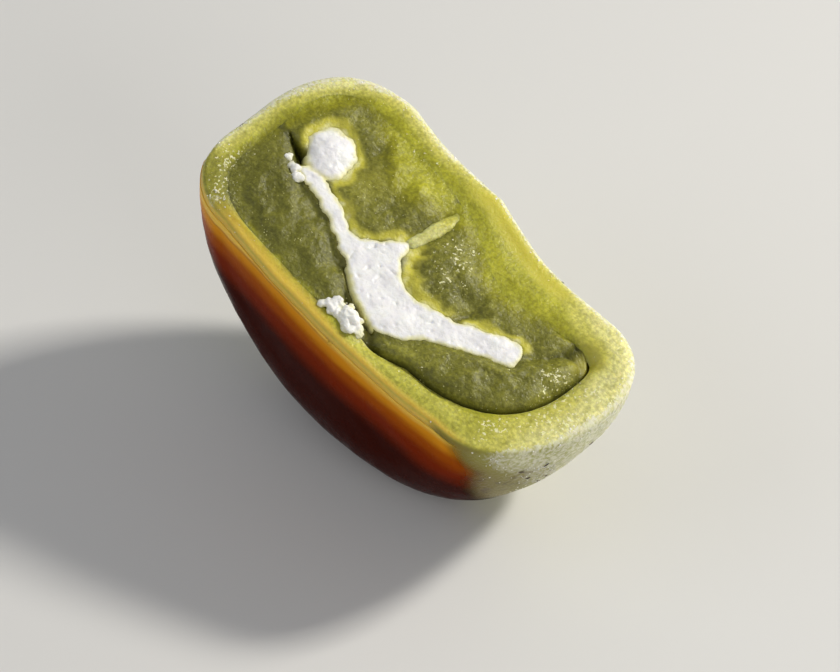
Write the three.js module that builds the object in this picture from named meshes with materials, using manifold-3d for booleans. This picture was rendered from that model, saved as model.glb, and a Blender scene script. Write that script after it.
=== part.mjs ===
// Half of a matcha mochi: a round rice cake cut straight down through its middle. The half lies on its
// round flank with the cut face up. A chewy rice-dough skin wraps a folded matcha paste, and a band of
// white cream with a round head runs through the paste.
import * as THREE from "three";
import { mergeVertices } from "three/addons/utils/BufferGeometryUtils.js";
import Module from "manifold-3d";

const wasm = await Module();
wasm.setup();

// ---- Driving sizes, in millimetres ----
// The cake's own axes: x along the cut, y up from the base to the domed top, z out of the cut face.
// The base's middle is at the origin, and all of the cake lies behind the cut, where z is below 0.
const GAP = 0.3; // between pieces that touch
const REACH = 23.5; // from the cake's axis to its flank, along the cut
const DEPTH = 23.5; // from its widest outline, behind the rim, to the back of the flank
const BASE_MIDDLE = 0; // height of the base at the cake's axis
const CROWN = 23.7; // height of the top at the cake's axis
const BASE_SKIN = 1.7; // thickness of the skin under the middle of the filling
const CROWN_SKIN = 4.1; // and over it

// A profile runs from the base's middle out to the flank and back to the crown. The three of a surface
// are its right end, its back and its left end, and the surface turns smoothly from one to the next.
// base and top are its heights where the corner and the shoulder begin, and sag bends the top between.
const OUTER = {
  right: { reach: REACH, base: 0.8, cornerIn: 10, cornerUp: 13, shoulderIn: 6.5, shoulderUp: 7.5, top: 22.1, sag: -0.5 },
  back: { reach: DEPTH, base: 0, cornerIn: 11, cornerUp: 9.5, shoulderIn: 13, shoulderUp: 12.5, top: 23.3, sag: 0.2 },
  left: { reach: REACH, base: 1.2, cornerIn: 7, cornerUp: 8, shoulderIn: 10.5, shoulderUp: 11, top: 24.6, sag: -0.7 },
};
const CAVITY = {
  right: { reach: 19.3, base: 3.2, cornerIn: 12, cornerUp: 10.5, shoulderIn: 3.2, shoulderUp: 3.2, top: 18.1, sag: -2.3 },
  back: { reach: 21.2, base: 2.4, cornerIn: 9.5, cornerUp: 8.5, shoulderIn: 11, shoulderUp: 10.5, top: 20.2, sag: 0.2 },
  left: { reach: 20.7, base: 1.9, cornerIn: 8, cornerUp: 8, shoulderIn: 5, shoulderUp: 5.5, top: 21.1, sag: 0.2 },
};
const CORNER_POWER = 2.25; // of the rounded corners: 2 is an ellipse, and more is squarer
const BULGE = 0.8; // how far the flank swells between the right end and the back
const UNEVEN = 0.25; // waves of the hand-shaped surface
const RIM = 0.9; // rounding of the skin's rim at the cut

// Lobes of the folded paste on the cut face: middle, half-length, half-width, turn in degrees and rise
const LOBES = [
  { x: -12.4, y: 6.9, long: 10.8, wide: 4.1, turn: -17, rise: 0.9 },
  { x: -15.6, y: 18.3, long: 6.2, wide: 3.0, turn: 12, rise: 0.7 },
  { x: -7.9, y: 15.6, long: 5.4, wide: 5.6, turn: 0, rise: 0.9 },
  { x: 2.4, y: 12.9, long: 4.7, wide: 4.9, turn: -20, rise: 1.0 },
  { x: 8.8, y: 14.6, long: 6.0, wide: 2.9, turn: 8, rise: 0.7 },
  { x: 9.2, y: 6.2, long: 7.8, wide: 3.7, turn: 22, rise: 1.1 },
  { x: 15.6, y: 11.4, long: 5.4, wide: 3.6, turn: 78, rise: 1.0 },
];
const LOBE_LEVEL = -0.5; // the cut face's level at a lobe's edge
const LOBE_FALL = 1.3; // how fast the paste falls away outside a lobe
const PASTE_FLOOR = -2.4; // the deepest that it falls, as in the pocket at the right end

const VALLEY = { x: 7, y: 20.6, long: 8, wide: 2.2, depth: 0.6 }; // pressed into the skin by the knife

const CREAM_OUTLINE = [
  [-15.9, 11.0], [-11.8, 9.8], [-8.4, 8.7], [-4.7, 6.6], [-0.9, 4.6], [1.9, 4.0], [4.2, 4.8],
  [8.4, 8.3], [12.3, 10.5], [13.9, 11.6], [13.0, 13.1], [9.7, 11.9], [5.3, 9.1], [1.4, 8.9],
  [-0.9, 10.8], [-2.5, 13.2], [-5.2, 10.9], [-7.6, 10.0], [-10.2, 11.5], [-13.4, 12.3],
];
const CREAM_TOP = -0.1; // level of the cream band on the cut face
const CREAM_DEPTH = 8; // how far the band runs into the paste
const CREAM_EDGE = 0.35; // rounding of the band's edges
const HEAD = { x: -14.8, y: 14.5, z: -1.3, radius: 2.65, height: 2.2 }; // round head of the cream

// A thin fold of the skin that reaches in between two lobes
const FOLD = { tip: [-2.3, 14.1], tipWidth: 0.8, root: [-1.6, 20.2], rootWidth: 2.2, top: -0.2, depth: 5 };

// Crack between the left lobe and the cream's head
const CRACK = { tip: [-19.4, 13.1], mouth: [-16.4, 12.6], width: 0.9, depth: 2.6 };

// How the half lies, on a small spot that its own weight has pressed flat
const END_DIP = 13.2; // degrees that the right end dips
const TOP_RISE = 5.6; // degrees that the domed side is raised
const REST = { x: 0.22, y: -12.473, z: 22.55 }; // the base's middle, in the part's frame

// ---- Profiles and surfaces ----
const STEPS = { base: 5, corner: 8, flank: 2, shoulder: 8, top: 6 }; // along a profile
const TURNS = 40; // steps of the surface from the right end round to the left end
const RIM_STEPS = 3; // round the rim

const mix = THREE.MathUtils.lerp;
const radians = THREE.MathUtils.degToRad;
const CLEAR = 0.02; // by which a shape passes the flat cut where it must not touch it

// The points [r, y] of one profile, pulled in by inset all round
function profile(side, baseMiddle, crown, inset = 0) {
  const reach = side.reach - inset;
  const base = side.base + inset;
  const top = side.top - inset;
  const low = baseMiddle + inset;
  const high = crown - inset;
  const power = 2 / CORNER_POWER;
  const points = [];
  for (let i = 0; i < STEPS.base; i++) {
    const s = i / STEPS.base;
    points.push([s * (reach - side.cornerIn), mix(low, base, s * s)]);
  }
  for (let i = 0; i < STEPS.corner; i++) {
    const a = ((i / STEPS.corner) * Math.PI) / 2;
    points.push([
      reach - side.cornerIn * (1 - Math.sin(a) ** power),
      base + side.cornerUp * (1 - Math.cos(a) ** power),
    ]);
  }
  for (let i = 0; i < STEPS.flank; i++) {
    points.push([reach, mix(base + side.cornerUp, top - side.shoulderUp, i / STEPS.flank)]);
  }
  for (let i = 0; i < STEPS.shoulder; i++) {
    const a = ((i / STEPS.shoulder) * Math.PI) / 2;
    points.push([
      reach - side.shoulderIn * (1 - Math.cos(a) ** power),
      top - side.shoulderUp * (1 - Math.sin(a) ** power),
    ]);
  }
  for (let i = 0; i <= STEPS.top; i++) {
    const s = i / STEPS.top;
    points.push([(1 - s) * (reach - side.shoulderIn), mix(top, high, s * s) + side.sag * Math.sin(Math.PI * s)]);
  }
  return points;
}

// Rows of points of a half-round surface: one row for each turn, from the right end to the left end
function surfaceRows(shape, baseMiddle, crown, inset = 0) {
  const right = profile(shape.right, baseMiddle, crown, inset);
  const back = profile(shape.back, baseMiddle, crown, inset);
  const left = profile(shape.left, baseMiddle, crown, inset);
  const rows = [];
  for (let i = 0; i <= TURNS; i++) {
    const turn = (i / TURNS) * Math.PI;
    const along = Math.cos(turn);
    const into = Math.sin(turn);
    const end = along > 0 ? right : left;
    const swell = along > 0 ? BULGE * Math.sin(2 * turn) ** 2 : 0;
    rows.push(
      end.map(([endR, endY], j) => {
        const share = j / (end.length - 1);
        const wave = UNEVEN * Math.sin(3 * turn + 6 * share) * into * Math.sin(Math.PI * share);
        const r = mix(back[j][0], endR, along ** 2);
        const y = mix(back[j][1], endY, along ** 2);
        const out = r + (swell + wave) * Math.sin(Math.PI * share);
        const [x, z] = j && j < end.length - 1 ? [out * along, -out * into] : [0, 0];
        return new THREE.Vector3(x, y, z);
      }),
    );
  }
  return rows;
}

// ---- Solids ----
// Triangles as a manifold solid, with shared corners merged and empty triangles left out
function solidOf(geometry) {
  const bare = new THREE.BufferGeometry();
  bare.setAttribute("position", (geometry.index ? geometry.toNonIndexed() : geometry).getAttribute("position"));
  const merged = mergeVertices(bare, 1e-4);
  const corners = merged.index.array;
  const kept = [];
  for (let i = 0; i < corners.length; i += 3) {
    const [a, b, c] = corners.subarray(i, i + 3);
    if (a !== b && b !== c && c !== a) kept.push(a, b, c);
  }
  return new wasm.Manifold(
    new wasm.Mesh({
      numProp: 3,
      vertProperties: merged.getAttribute("position").array,
      triVerts: new Uint32Array(kept),
    }),
  );
}

function geometryOfTriangles(triangles) {
  return new THREE.BufferGeometry().setFromPoints(triangles.flat());
}

// The space behind the cut inside a half-round surface. It runs straight on by rise in front of the cut,
// or it is rounded in towards the cut by rim.
function halfRound(shape, baseMiddle, crown, { inset = 0, rise = 0, rim = 0 } = {}) {
  const rows = surfaceRows(shape, baseMiddle, crown, inset);
  const triangles = [];
  const quad = (a, b, c, d) => triangles.push([a, b, c], [a, c, d]);
  for (let i = 0; i < TURNS; i++) {
    for (let j = 0; j < rows[i].length - 1; j++) {
      quad(rows[i][j], rows[i + 1][j], rows[i + 1][j + 1], rows[i][j + 1]);
    }
  }
  const outline = [...rows[0], ...rows[TURNS].slice(1, -1).reverse()];
  const last = outline.length - 1;
  const inward = outline.map((p, k) => {
    const along = outline[k < last ? k + 1 : 0].clone().sub(outline[k ? k - 1 : last]).normalize();
    return new THREE.Vector3(-along.y, along.x, 0);
  });
  let ring = outline;
  const steps = rim ? RIM_STEPS : 1;
  for (let i = 1; i <= steps; i++) {
    const a = ((i / steps) * Math.PI) / 2;
    const next = outline.map((p, k) => {
      const lifted = p.clone().addScaledVector(inward[k], rim * (1 - Math.cos(a)));
      return lifted.setZ(rim ? rim * Math.sin(a) : rise);
    });
    ring.forEach((p, k) => {
      const beside = k < last ? k + 1 : 0;
      quad(p, ring[beside], next[beside], next[k]);
    });
    ring = next;
  }
  const flat = ring.map((p) => new THREE.Vector2(p.x, p.y));
  for (const [a, b, c] of THREE.ShapeUtils.triangulateShape(flat, [])) {
    triangles.push([ring[a], ring[b], ring[c]]);
  }
  return solidOf(geometryOfTriangles(triangles));
}

// A block that fills everything behind the height field level(x, y)
const FIELD = { left: -27, right: 27, low: -3, high: 28, step: 1.1, back: -30 };
function blockUnder(level, step = FIELD.step) {
  const columns = Math.round((FIELD.right - FIELD.left) / step);
  const rows = Math.round((FIELD.high - FIELD.low) / step);
  const at = (i, j, z) => {
    const x = mix(FIELD.left, FIELD.right, i / columns);
    const y = mix(FIELD.low, FIELD.high, j / rows);
    return new THREE.Vector3(x, y, z ?? level(x, y));
  };
  const triangles = [];
  const quad = (a, b, c, d) => triangles.push([a, b, c], [a, c, d]);
  for (let i = 0; i < columns; i++) {
    for (let j = 0; j < rows; j++) {
      quad(at(i, j), at(i + 1, j), at(i + 1, j + 1), at(i, j + 1));
      quad(at(i, j, FIELD.back), at(i, j + 1, FIELD.back), at(i + 1, j + 1, FIELD.back), at(i + 1, j, FIELD.back));
    }
  }
  for (let i = 0; i < columns; i++) {
    quad(at(i, 0, FIELD.back), at(i + 1, 0, FIELD.back), at(i + 1, 0), at(i, 0));
    quad(at(i + 1, rows, FIELD.back), at(i, rows, FIELD.back), at(i, rows), at(i + 1, rows));
  }
  for (let j = 0; j < rows; j++) {
    quad(at(0, j + 1, FIELD.back), at(0, j, FIELD.back), at(0, j), at(0, j + 1));
    quad(at(columns, j, FIELD.back), at(columns, j + 1, FIELD.back), at(columns, j + 1), at(columns, j));
  }
  return solidOf(geometryOfTriangles(triangles));
}

// A closed outline run from level top down by depth, with edges rounded by edge and grown by grow
function slab(outline, top, depth, { edge = 0, grow = 0 } = {}) {
  const shape = new THREE.Shape(outline.map(([x, y]) => new THREE.Vector2(x, y)));
  const geometry = new THREE.ExtrudeGeometry(shape, {
    depth: depth - 2 * edge,
    bevelEnabled: edge > 0 || grow > 0,
    bevelThickness: edge,
    bevelSize: edge,
    bevelOffset: grow - edge,
    bevelSegments: 2,
  });
  return solidOf(geometry.translate(0, 0, top - depth + edge));
}

// ---- The cut face ----
function lobeLevel(lobe, x, y) {
  const turn = radians(lobe.turn);
  const dx = x - lobe.x;
  const dy = y - lobe.y;
  const u = (dx * Math.cos(turn) + dy * Math.sin(turn)) / lobe.long;
  const v = (dy * Math.cos(turn) - dx * Math.sin(turn)) / lobe.wide;
  const q = Math.hypot(u, v);
  return q < 1 ? LOBE_LEVEL + lobe.rise * Math.sqrt(1 - q * q) : LOBE_LEVEL - LOBE_FALL * lobe.wide * (q - 1);
}

const pasteLevel = (x, y) => Math.max(PASTE_FLOOR, ...LOBES.map((lobe) => lobeLevel(lobe, x, y)));

function skinLevel(x, y) {
  const u = (x - VALLEY.x) / VALLEY.long;
  const v = (y - VALLEY.y) / VALLEY.wide;
  return CLEAR - VALLEY.depth * Math.exp(-u * u - v * v);
}

// A tapering strip between two points
function strip([ax, ay], widthA, [bx, by], widthB, grow = 0) {
  const length = Math.hypot(bx - ax, by - ay);
  const [tx, ty] = [(bx - ax) / length, (by - ay) / length];
  const corner = (x, y, width, side, end) => [
    x + end * grow * tx - side * (width / 2 + grow) * ty,
    y + end * grow * ty + side * (width / 2 + grow) * tx,
  ];
  return [corner(ax, ay, widthA, -1, -1), corner(bx, by, widthB, -1, 1), corner(bx, by, widthB, 1, 1), corner(ax, ay, widthA, 1, -1)];
}

// ---- Pieces ----
const half = new THREE.Group();
half.rotation.order = "YXZ";
half.rotation.set(radians(TOP_RISE), radians(END_DIP), 0);
half.position.set(REST.x, REST.y, REST.z);
half.updateMatrixWorld(true);

// What lies under the table's top, in the cake's own axes
function tableSolid() {
  const table = new THREE.BoxGeometry(120, 120, 20).translate(0, 0, -10);
  return solidOf(table.applyMatrix4(half.matrixWorld.clone().invert()));
}

function foldSlab(grow = 0) {
  return slab(strip(FOLD.tip, FOLD.tipWidth, FOLD.root, FOLD.rootWidth, grow), FOLD.top + grow, FOLD.depth + 2 * grow);
}

function skinSolid() {
  const body = halfRound(OUTER, BASE_MIDDLE, CROWN, { rim: RIM })
    .translate(0, 0, -RIM)
    .intersect(blockUnder(skinLevel, 1.6));
  const cavity = halfRound(CAVITY, BASE_SKIN, CROWN - CROWN_SKIN, { rise: 3 });
  return body.subtract(cavity).add(foldSlab().intersect(body)).subtract(tableSolid());
}

function creamSolid(grow = 0) {
  const outline = new THREE.CatmullRomCurve3(
    CREAM_OUTLINE.map(([x, y]) => new THREE.Vector3(x, y, 0)),
    true,
    "centripetal",
  );
  const points = outline.getPoints(3 * CREAM_OUTLINE.length).slice(0, -1);
  const band = slab(points.map((p) => [p.x, p.y]), CREAM_TOP + grow, CREAM_DEPTH + 2 * grow, { edge: CREAM_EDGE, grow });
  const head = new THREE.SphereGeometry(1, 20, 12);
  head.scale(HEAD.radius + grow, HEAD.radius + grow, HEAD.height + grow).translate(HEAD.x, HEAD.y, HEAD.z);
  return band.add(solidOf(head));
}

function pasteSolid() {
  const body = halfRound(CAVITY, BASE_SKIN, CROWN - CROWN_SKIN, { inset: GAP, rise: 3 });
  const crack = slab(strip(CRACK.tip, 0.2, CRACK.mouth, CRACK.width), 3, 3 + CRACK.depth);
  const over = slab([[-16.6, 11.2], [-11, 10.2], [-11.6, 14], [-15.6, 17]], 4, 4);
  return body
    .intersect(blockUnder(pasteLevel))
    .subtract(creamSolid(GAP))
    .subtract(foldSlab(GAP))
    .subtract(crack)
    .subtract(over);
}

function piece(name, solid, colour, roughness) {
  const { numProp, vertProperties, triVerts } = solid.getMesh();
  const positions = new Float32Array(triVerts.length * 3);
  triVerts.forEach((corner, i) => {
    positions.set(vertProperties.subarray(corner * numProp, corner * numProp + 3), i * 3);
  });
  const geometry = new THREE.BufferGeometry();
  geometry.setAttribute("position", new THREE.BufferAttribute(positions, 3));
  geometry.computeVertexNormals();
  const mesh = new THREE.Mesh(geometry, new THREE.MeshStandardMaterial({ color: colour, roughness, metalness: 0 }));
  mesh.name = name;
  half.add(mesh);
}

piece("mochi_skin", skinSolid(), 0xb9b765, 0.55);
piece("matcha_paste", pasteSolid(), 0x6f7435, 0.6);
piece("cream_band", creamSolid(), 0xf2efe4, 0.5);

const mochi = new THREE.Group();
mochi.add(half);

export default mochi;
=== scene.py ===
import bmesh
import bpy
import numpy as np
from bpy.props import FloatProperty, FloatVectorProperty, IntProperty, PointerProperty
from mathutils import Matrix, Vector, noise


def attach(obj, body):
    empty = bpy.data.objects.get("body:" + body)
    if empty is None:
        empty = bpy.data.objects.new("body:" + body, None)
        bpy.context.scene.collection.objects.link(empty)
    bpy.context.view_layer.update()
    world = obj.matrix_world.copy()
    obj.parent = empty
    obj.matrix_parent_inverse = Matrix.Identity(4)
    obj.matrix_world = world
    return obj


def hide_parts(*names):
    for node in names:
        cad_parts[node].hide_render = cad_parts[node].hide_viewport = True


bl_info = {
    "name": "Matcha mochi half",
    "version": (1, 0, 0),
    "blender": (4, 5, 0),
    "location": "3D View > Sidebar > Mochi",
    "description": "Builds half of a filled matcha mochi: skin, paste, cream, caramel glaze and dusting",
    "category": "Add Mesh",
}

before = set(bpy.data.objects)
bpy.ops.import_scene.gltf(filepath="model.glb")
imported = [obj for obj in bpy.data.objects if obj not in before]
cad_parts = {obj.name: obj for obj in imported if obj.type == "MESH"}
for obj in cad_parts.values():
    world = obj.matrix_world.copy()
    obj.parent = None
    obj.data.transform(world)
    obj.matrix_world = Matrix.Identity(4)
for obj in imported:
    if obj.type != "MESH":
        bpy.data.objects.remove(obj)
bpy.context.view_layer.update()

# The cake is drawn in millimetres on its own axes: x along the cut, y up from the base to the domed top,
# z out of the cut face. place() then lays it on its flank in the part's frame, in metres.
MM = 0.001
REST = (0.22, -12.473, 22.55)  # the base's middle, in the part's frame

# ---- The skin ----

# A profile runs from the base's middle out to the flank and back to the crown
OUTER = {
    "right": dict(reach=23.5, base=0.8, corner=(10, 13), shoulder=(6.5, 7.5), top=22.1, sag=-0.5),
    "back": dict(reach=23.5, base=0, corner=(11, 9.5), shoulder=(13, 12.5), top=23.3, sag=0.2),
    "left": dict(reach=23.5, base=1.2, corner=(7, 8), shoulder=(10.5, 11), top=24.6, sag=-0.7),
}
OUTER_MIDDLE = (0, 23.7)  # heights of the base and of the crown at the cake's axis
CAVITY = {
    "right": dict(reach=19.3, base=3.2, corner=(12, 10.5), shoulder=(3.2, 3.2), top=18.1, sag=-2.3),
    "back": dict(reach=21.2, base=2.4, corner=(9.5, 8.5), shoulder=(11, 10.5), top=20.2, sag=0.2),
    "left": dict(reach=20.7, base=1.9, corner=(8, 8), shoulder=(5, 5.5), top=21.1, sag=0.2),
}
CAVITY_MIDDLE = (1.7, 19.6)
STEPS = dict(base=5, corner=8, flank=2, shoulder=8, top=6)  # steps in each stretch of a profile
CORNER_POWER = 2.25  # 2 makes an elliptic corner, and more a squarer one
BULGE = 0.8  # how far the skin swells round the back of its right end
UNEVEN = 0.25  # how far its side wanders in and out
LIP = 0.7  # how far the skin's thin lip reaches over the paste where the two stick together
LIP_DEPTH = 1.3
# The fold of skin between two lobes: points (x, y, half-width)
FOLD = [(-2.4, 12.8, 0.5), (-2.1, 14.0, 0.66), (-1.85, 15.8, 0.76), (-1.6, 17.6, 0.76), (-1.4, 19.4, 0.55)]
FOLD_DEPTH = 5
FOLD_SKIRT = 0.5  # how far it reaches under the paste beside it
FOLD_STEP = 0.1  # spacing of its mesh

# ---- The paste ----

# The lobes on the cut: the level of the edge, how far the lobe rises over it, and the width of its
# rounded shoulder
LOBES = {
    "left": dict(
        edge=-0.4, rise=0.8, shoulder=3.0,
        outline=[
            (-20.9, 12.3), (-21, 9), (-20.4, 6.2), (-18.4, 3.9), (-15, 2.6), (-10.5, 1.9), (-6, 1.6),
            (-2.6, 2.0), (-1.6, 3.2), (-3.2, 4.7), (-5.6, 6.3), (-8.8, 8.1), (-11.8, 9.2), (-14.4, 9.9),
            (-16.8, 11.3), (-19, 12.4),
        ],
    ),
    "upper left": dict(
        edge=-0.35, rise=0.7, shoulder=2.6,
        outline=[
            (-20.9, 13.6), (-21, 17), (-19.4, 20), (-16, 21.4), (-11, 21.4), (-10.2, 19.4), (-10.6, 17.4),
            (-12, 15), (-15.2, 13.4), (-17.4, 12.7), (-19.4, 12.8),
        ],
    ),
    "top": dict(
        edge=-0.35, rise=0.85, shoulder=2.6,
        outline=[
            (-12.8, 21.6), (-6.5, 21), (-3.3, 20.6), (-2.6, 17.5), (-2.8, 14.1), (-4.3, 11.2), (-6.2, 9.4),
            (-8.0, 9.3), (-10.4, 10.6), (-12.6, 12.1), (-14.0, 13.6), (-13.4, 15.4), (-12.8, 17.8),
            (-13.4, 19.8),
        ],
    ),
    "middle": dict(
        edge=-0.4, rise=0.9, shoulder=3.0,
        outline=[
            (-1.4, 20.3), (0.9, 20), (3.2, 18.3), (5.5, 16.9), (7.0, 15.2), (7.2, 12.6), (5.5, 9.6),
            (3.2, 8.4), (0.9, 8.4), (-0.9, 10.4), (-1.8, 13.3), (-1.5, 16.4),
        ],
    ),
    "upper right": dict(
        edge=-0.4, rise=0.5, shoulder=2.2,
        outline=[
            (5.6, 17.2), (8.4, 16.8), (11.4, 17.3), (14.6, 18.6), (16.0, 17.0), (15.8, 14.8), (14.2, 12.6),
            (11.4, 11.9), (9.2, 10.6), (7.4, 10.2), (6.5, 13.3),
        ],
    ),
    "right": dict(
        edge=-0.6, rise=1.15, shoulder=3.0,
        outline=[
            (2.6, 3.4), (5, 2.4), (8.7, 2.3), (12.7, 3.4), (16.0, 5.4), (18.3, 8.4), (19.3, 11.8),
            (19.1, 14.4), (17.9, 15.9), (16.3, 15.7), (15.0, 14.2), (13.4, 12.4), (11.2, 11.0), (8.6, 9.0),
            (6.6, 7.2), (4.8, 5.2),
        ],
    ),
}
LOBE_FALL = 1.6  # how fast the paste falls away outside a lobe
PASTE_FLOOR = -1.1  # the lowest that it falls there
PASTE_BY_CREAM = 0.17  # how high it stands where it meets the cream, over the fall of the cream's edge
PASTE_GAP = 0.03  # between the paste and the skin's cavity
# Clefts in the paste, as points (x, y, half-width): beside the head, and between the left lobe and the cream
CRACK = [
    (-19.4, 12.9, 0.02), (-18.4, 12.6, 0.07), (-17.2, 12.25, 0.16), (-16.2, 11.95, 0.2), (-15.3, 11.7, 0.12),
]
CREVICE = [(-4.6, 6.25, 0.02), (-2.6, 5.25, 0.12), (-0.6, 4.35, 0.26), (1.0, 3.75, 0.3), (2.4, 3.5, 0.1)]
# The darkness of each cleft is painted shade.
CLEFTS = ((CRACK, 1.4, 0.95), (CREVICE, 1.0, 0.9))  # path, depth and darkness of each
# Hollows in the paste: x, y, radius and depth
HOLLOWS = [
    (-12.2, 18.5, 0.6, 0.12), (-11.3, 17.8, 0.6, 0.16), (-10.4, 17.1, 0.6, 0.2), (-9.6, 16.4, 0.6, 0.16),
    (-2.9, 13.5, 0.5, 0.5), (-0.8, 13.3, 0.5, 0.5), (-0.3, 11.4, 0.5, 0.35), (5.6, 13.4, 1.4, 0.3),
]
# The stretch of the cut that has the colour of paste, which isn't quite where the filling ends
PASTE_TONE = [
    (-20.0, 4.8), (-21.0, 9.0), (-20.9, 13.4), (-19.6, 17.2), (-17.6, 20.2), (-15.2, 21.0), (-12.6, 20.0),
    (-10.0, 18.0), (-7.3, 16.2), (-4.8, 17.2), (-2.2, 18.2), (0.4, 18.4), (2.8, 17.6), (5.2, 15.8),
    (8.0, 15.4), (10.6, 16.2), (13.2, 17.2), (15.4, 17.4), (17.4, 16.2), (18.6, 14.6), (19.0, 11.8),
    (18.2, 8.6), (16.8, 6.1), (14.5, 4.0), (11.5, 2.7), (8.2, 2.3), (5.1, 2.6), (2.4, 2.9), (-0.6, 2.0),
    (-4.8, 1.9), (-11.0, 2.3), (-17.0, 3.1),
]

# ---- The cream ----

CREAM_OUTLINE = [
    (-15.9, 10.8), (-13.9, 10.2), (-11.1, 9.4), (-7.7, 8.0), (-4.6, 6.4), (-1.5, 4.9), (0.9, 4.0),
    (2.6, 3.8), (4.2, 4.5), (5.9, 6.1), (8.6, 8.0), (11.5, 9.6), (13.5, 10.6), (14.1, 11.6), (13.5, 12.8),
    (11.9, 13.1), (9.3, 11.7), (6.5, 10.4), (3.4, 9.3), (1.5, 9.1), (0.0, 9.6), (-1.2, 10.8), (-2.3, 13.0),
    (-4.2, 11.5), (-5.6, 10.1), (-7.0, 9.7), (-9.0, 10.5), (-11.5, 11.4), (-13.9, 12.0), (-15.3, 11.7),
]
CREAM_DEPTH = 8
CREAM_SKIRT = 0.6  # how far the cream reaches under the paste
CREAM_TOP = 0.14  # level of its top
CREAM_EDGE = -0.14  # how far its top falls towards its edge
CREAM_STEP = 0.13  # spacing of its mesh
CREAM_HEAD = dict(middle=(-14.9, 14.3), slant=np.radians(-39), radii=(3.0, 2.5), rise=0.8)
# Crumbs of cream on the cut: middle x and y of each heap, how far it spreads along x and y, how many, and
# the size of its largest
CRUMB_HEAPS = [
    (-0.4, 2.8, 1.9, 1.0, 22, 1.6), (-2.3, 2.7, 1.5, 1.0, 16, 1.1), (-1.2, 3.5, 1.0, 0.5, 6, 0.6),
    (1.9, 2.2, 0.9, 0.4, 5, 0.4), (-17.2, 10.9, 0.6, 0.2, 8, 0.7), (-16.2, 10.5, 0.8, 0.3, 12, 0.95),
    (-15.1, 10.1, 0.7, 0.3, 10, 0.9), (-18.2, 2.9, 0.8, 0.3, 8, 0.35),
]

# Places where moist grains catch the light: x, y, radius and amount
SPARKLES = [
    (-18.8, 3.6, 1.8, 1.0), (-20.9, 6.4, 2.2, 0.9), (-12.5, 4.5, 3.0, 0.5), (-9.0, 6.6, 2.0, 0.35),
    (1.6, 15.8, 2.4, 0.8), (3.6, 12.8, 2.0, 0.6), (17.6, 12.8, 1.8, 0.7), (20.8, 9.5, 2.6, 0.9),
    (17.8, 4.8, 2.6, 0.8), (21.2, 14.5, 2.8, 0.8), (-9.0, 21.4, 2.2, 0.5), (-16.5, 22.4, 2.6, 0.4),
    (8.4, 3.0, 2.2, 0.35), (-7.0, 13.0, 2.2, 0.35),
]

# ---- Shapes, in millimetres on the cake's axes ----


def profile(side, middle, inset, detail):
    """Points (r, y) of one profile, pulled in by inset all round."""
    reach, base, top = side["reach"] - inset, side["base"] + inset, side["top"] - inset
    low, high = middle[0] + inset, middle[1] - inset
    (corner_in, corner_up), (shoulder_in, shoulder_up) = side["corner"], side["shoulder"]
    power = 2 / CORNER_POWER
    steps = {name: np.arange(n * detail + (name == "top")) / (n * detail) for name, n in STEPS.items()}
    s, flank, t = steps["base"], steps["flank"], steps["top"]
    a, b = steps["corner"] * np.pi / 2, steps["shoulder"] * np.pi / 2
    parts = [
        (s * (reach - corner_in), low + (base - low) * s**2),
        (reach - corner_in * (1 - np.sin(a) ** power), base + corner_up * (1 - np.cos(a) ** power)),
        (reach + 0 * flank, base + corner_up + (top - shoulder_up - base - corner_up) * flank),
        (reach - shoulder_in * (1 - np.cos(b) ** power), top - shoulder_up * (1 - np.sin(b) ** power)),
        ((1 - t) * (reach - shoulder_in), top + (high - top) * t**2 + side["sag"] * np.sin(np.pi * t)),
    ]
    return np.vstack([np.column_stack(part) for part in parts])


def half_round(shape, middle, inset=0.0, turns=2, detail=4):
    """Points [turn, step, xyz] of a half-round surface, from the right end round the back to the left end."""
    sides = {name: profile(side, middle, inset, detail) for name, side in shape.items()}
    turn = np.linspace(0, np.pi, turns + 1)[:, None, None]
    share = np.linspace(0, 1, len(sides["back"]))[None, :, None]
    along, into = np.cos(turn), np.sin(turn)
    end = np.where(along > 0, sides["right"], sides["left"])
    r, y = np.split(sides["back"] + (end - sides["back"]) * along**2, 2, axis=2)
    body = np.sin(np.pi * share)
    swell = np.where(along > 0, BULGE * np.sin(2 * turn) ** 2, 0)
    out = r + (swell + UNEVEN * np.sin(3 * turn + 6 * share) * into * body) * body
    out[:, [0, -1]] = 0
    return np.concatenate((out * along, y + 0 * out, -out * into), axis=2)


def rim_of(rows):
    """The closed outline of a half-round surface at the cut, anticlockwise seen from the front."""
    return np.concatenate((rows[0], rows[-1][-2:0:-1]))


def skin_edge():
    """Outline of the skin's outer edge on the cut."""
    return rim_of(half_round(OUTER, OUTER_MIDDLE))


def filling_edge(inset=0.0):
    """Outline of the filling on the cut."""
    return rim_of(half_round(CAVITY, CAVITY_MIDDLE, inset))


def inward_of(outline):
    """Unit vectors that point into a closed anticlockwise outline."""
    along = np.roll(outline, -1, axis=0) - np.roll(outline, 1, axis=0)
    along /= np.linalg.norm(along, axis=1, keepdims=True)
    return np.column_stack((-along[:, 1], along[:, 0], 0 * along[:, 0]))


def smooth_loop(corners, steps=6):
    """A closed smooth curve through a list of points."""
    p = np.asarray(corners, float)
    before, after, beyond = np.roll(p, 1, 0), np.roll(p, -1, 0), np.roll(p, -2, 0)
    t = np.linspace(0, 1, steps, endpoint=False)[None, :, None]
    p, before, after, beyond = (q[:, None, :] for q in (p, before, after, beyond))
    curve = (
        2 * p
        + (after - before) * t
        + (2 * before - 5 * p + 4 * after - beyond) * t**2
        + (3 * p - before - 3 * after + beyond) * t**3
    ) / 2
    return curve.reshape(-1, curve.shape[2])


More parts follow.
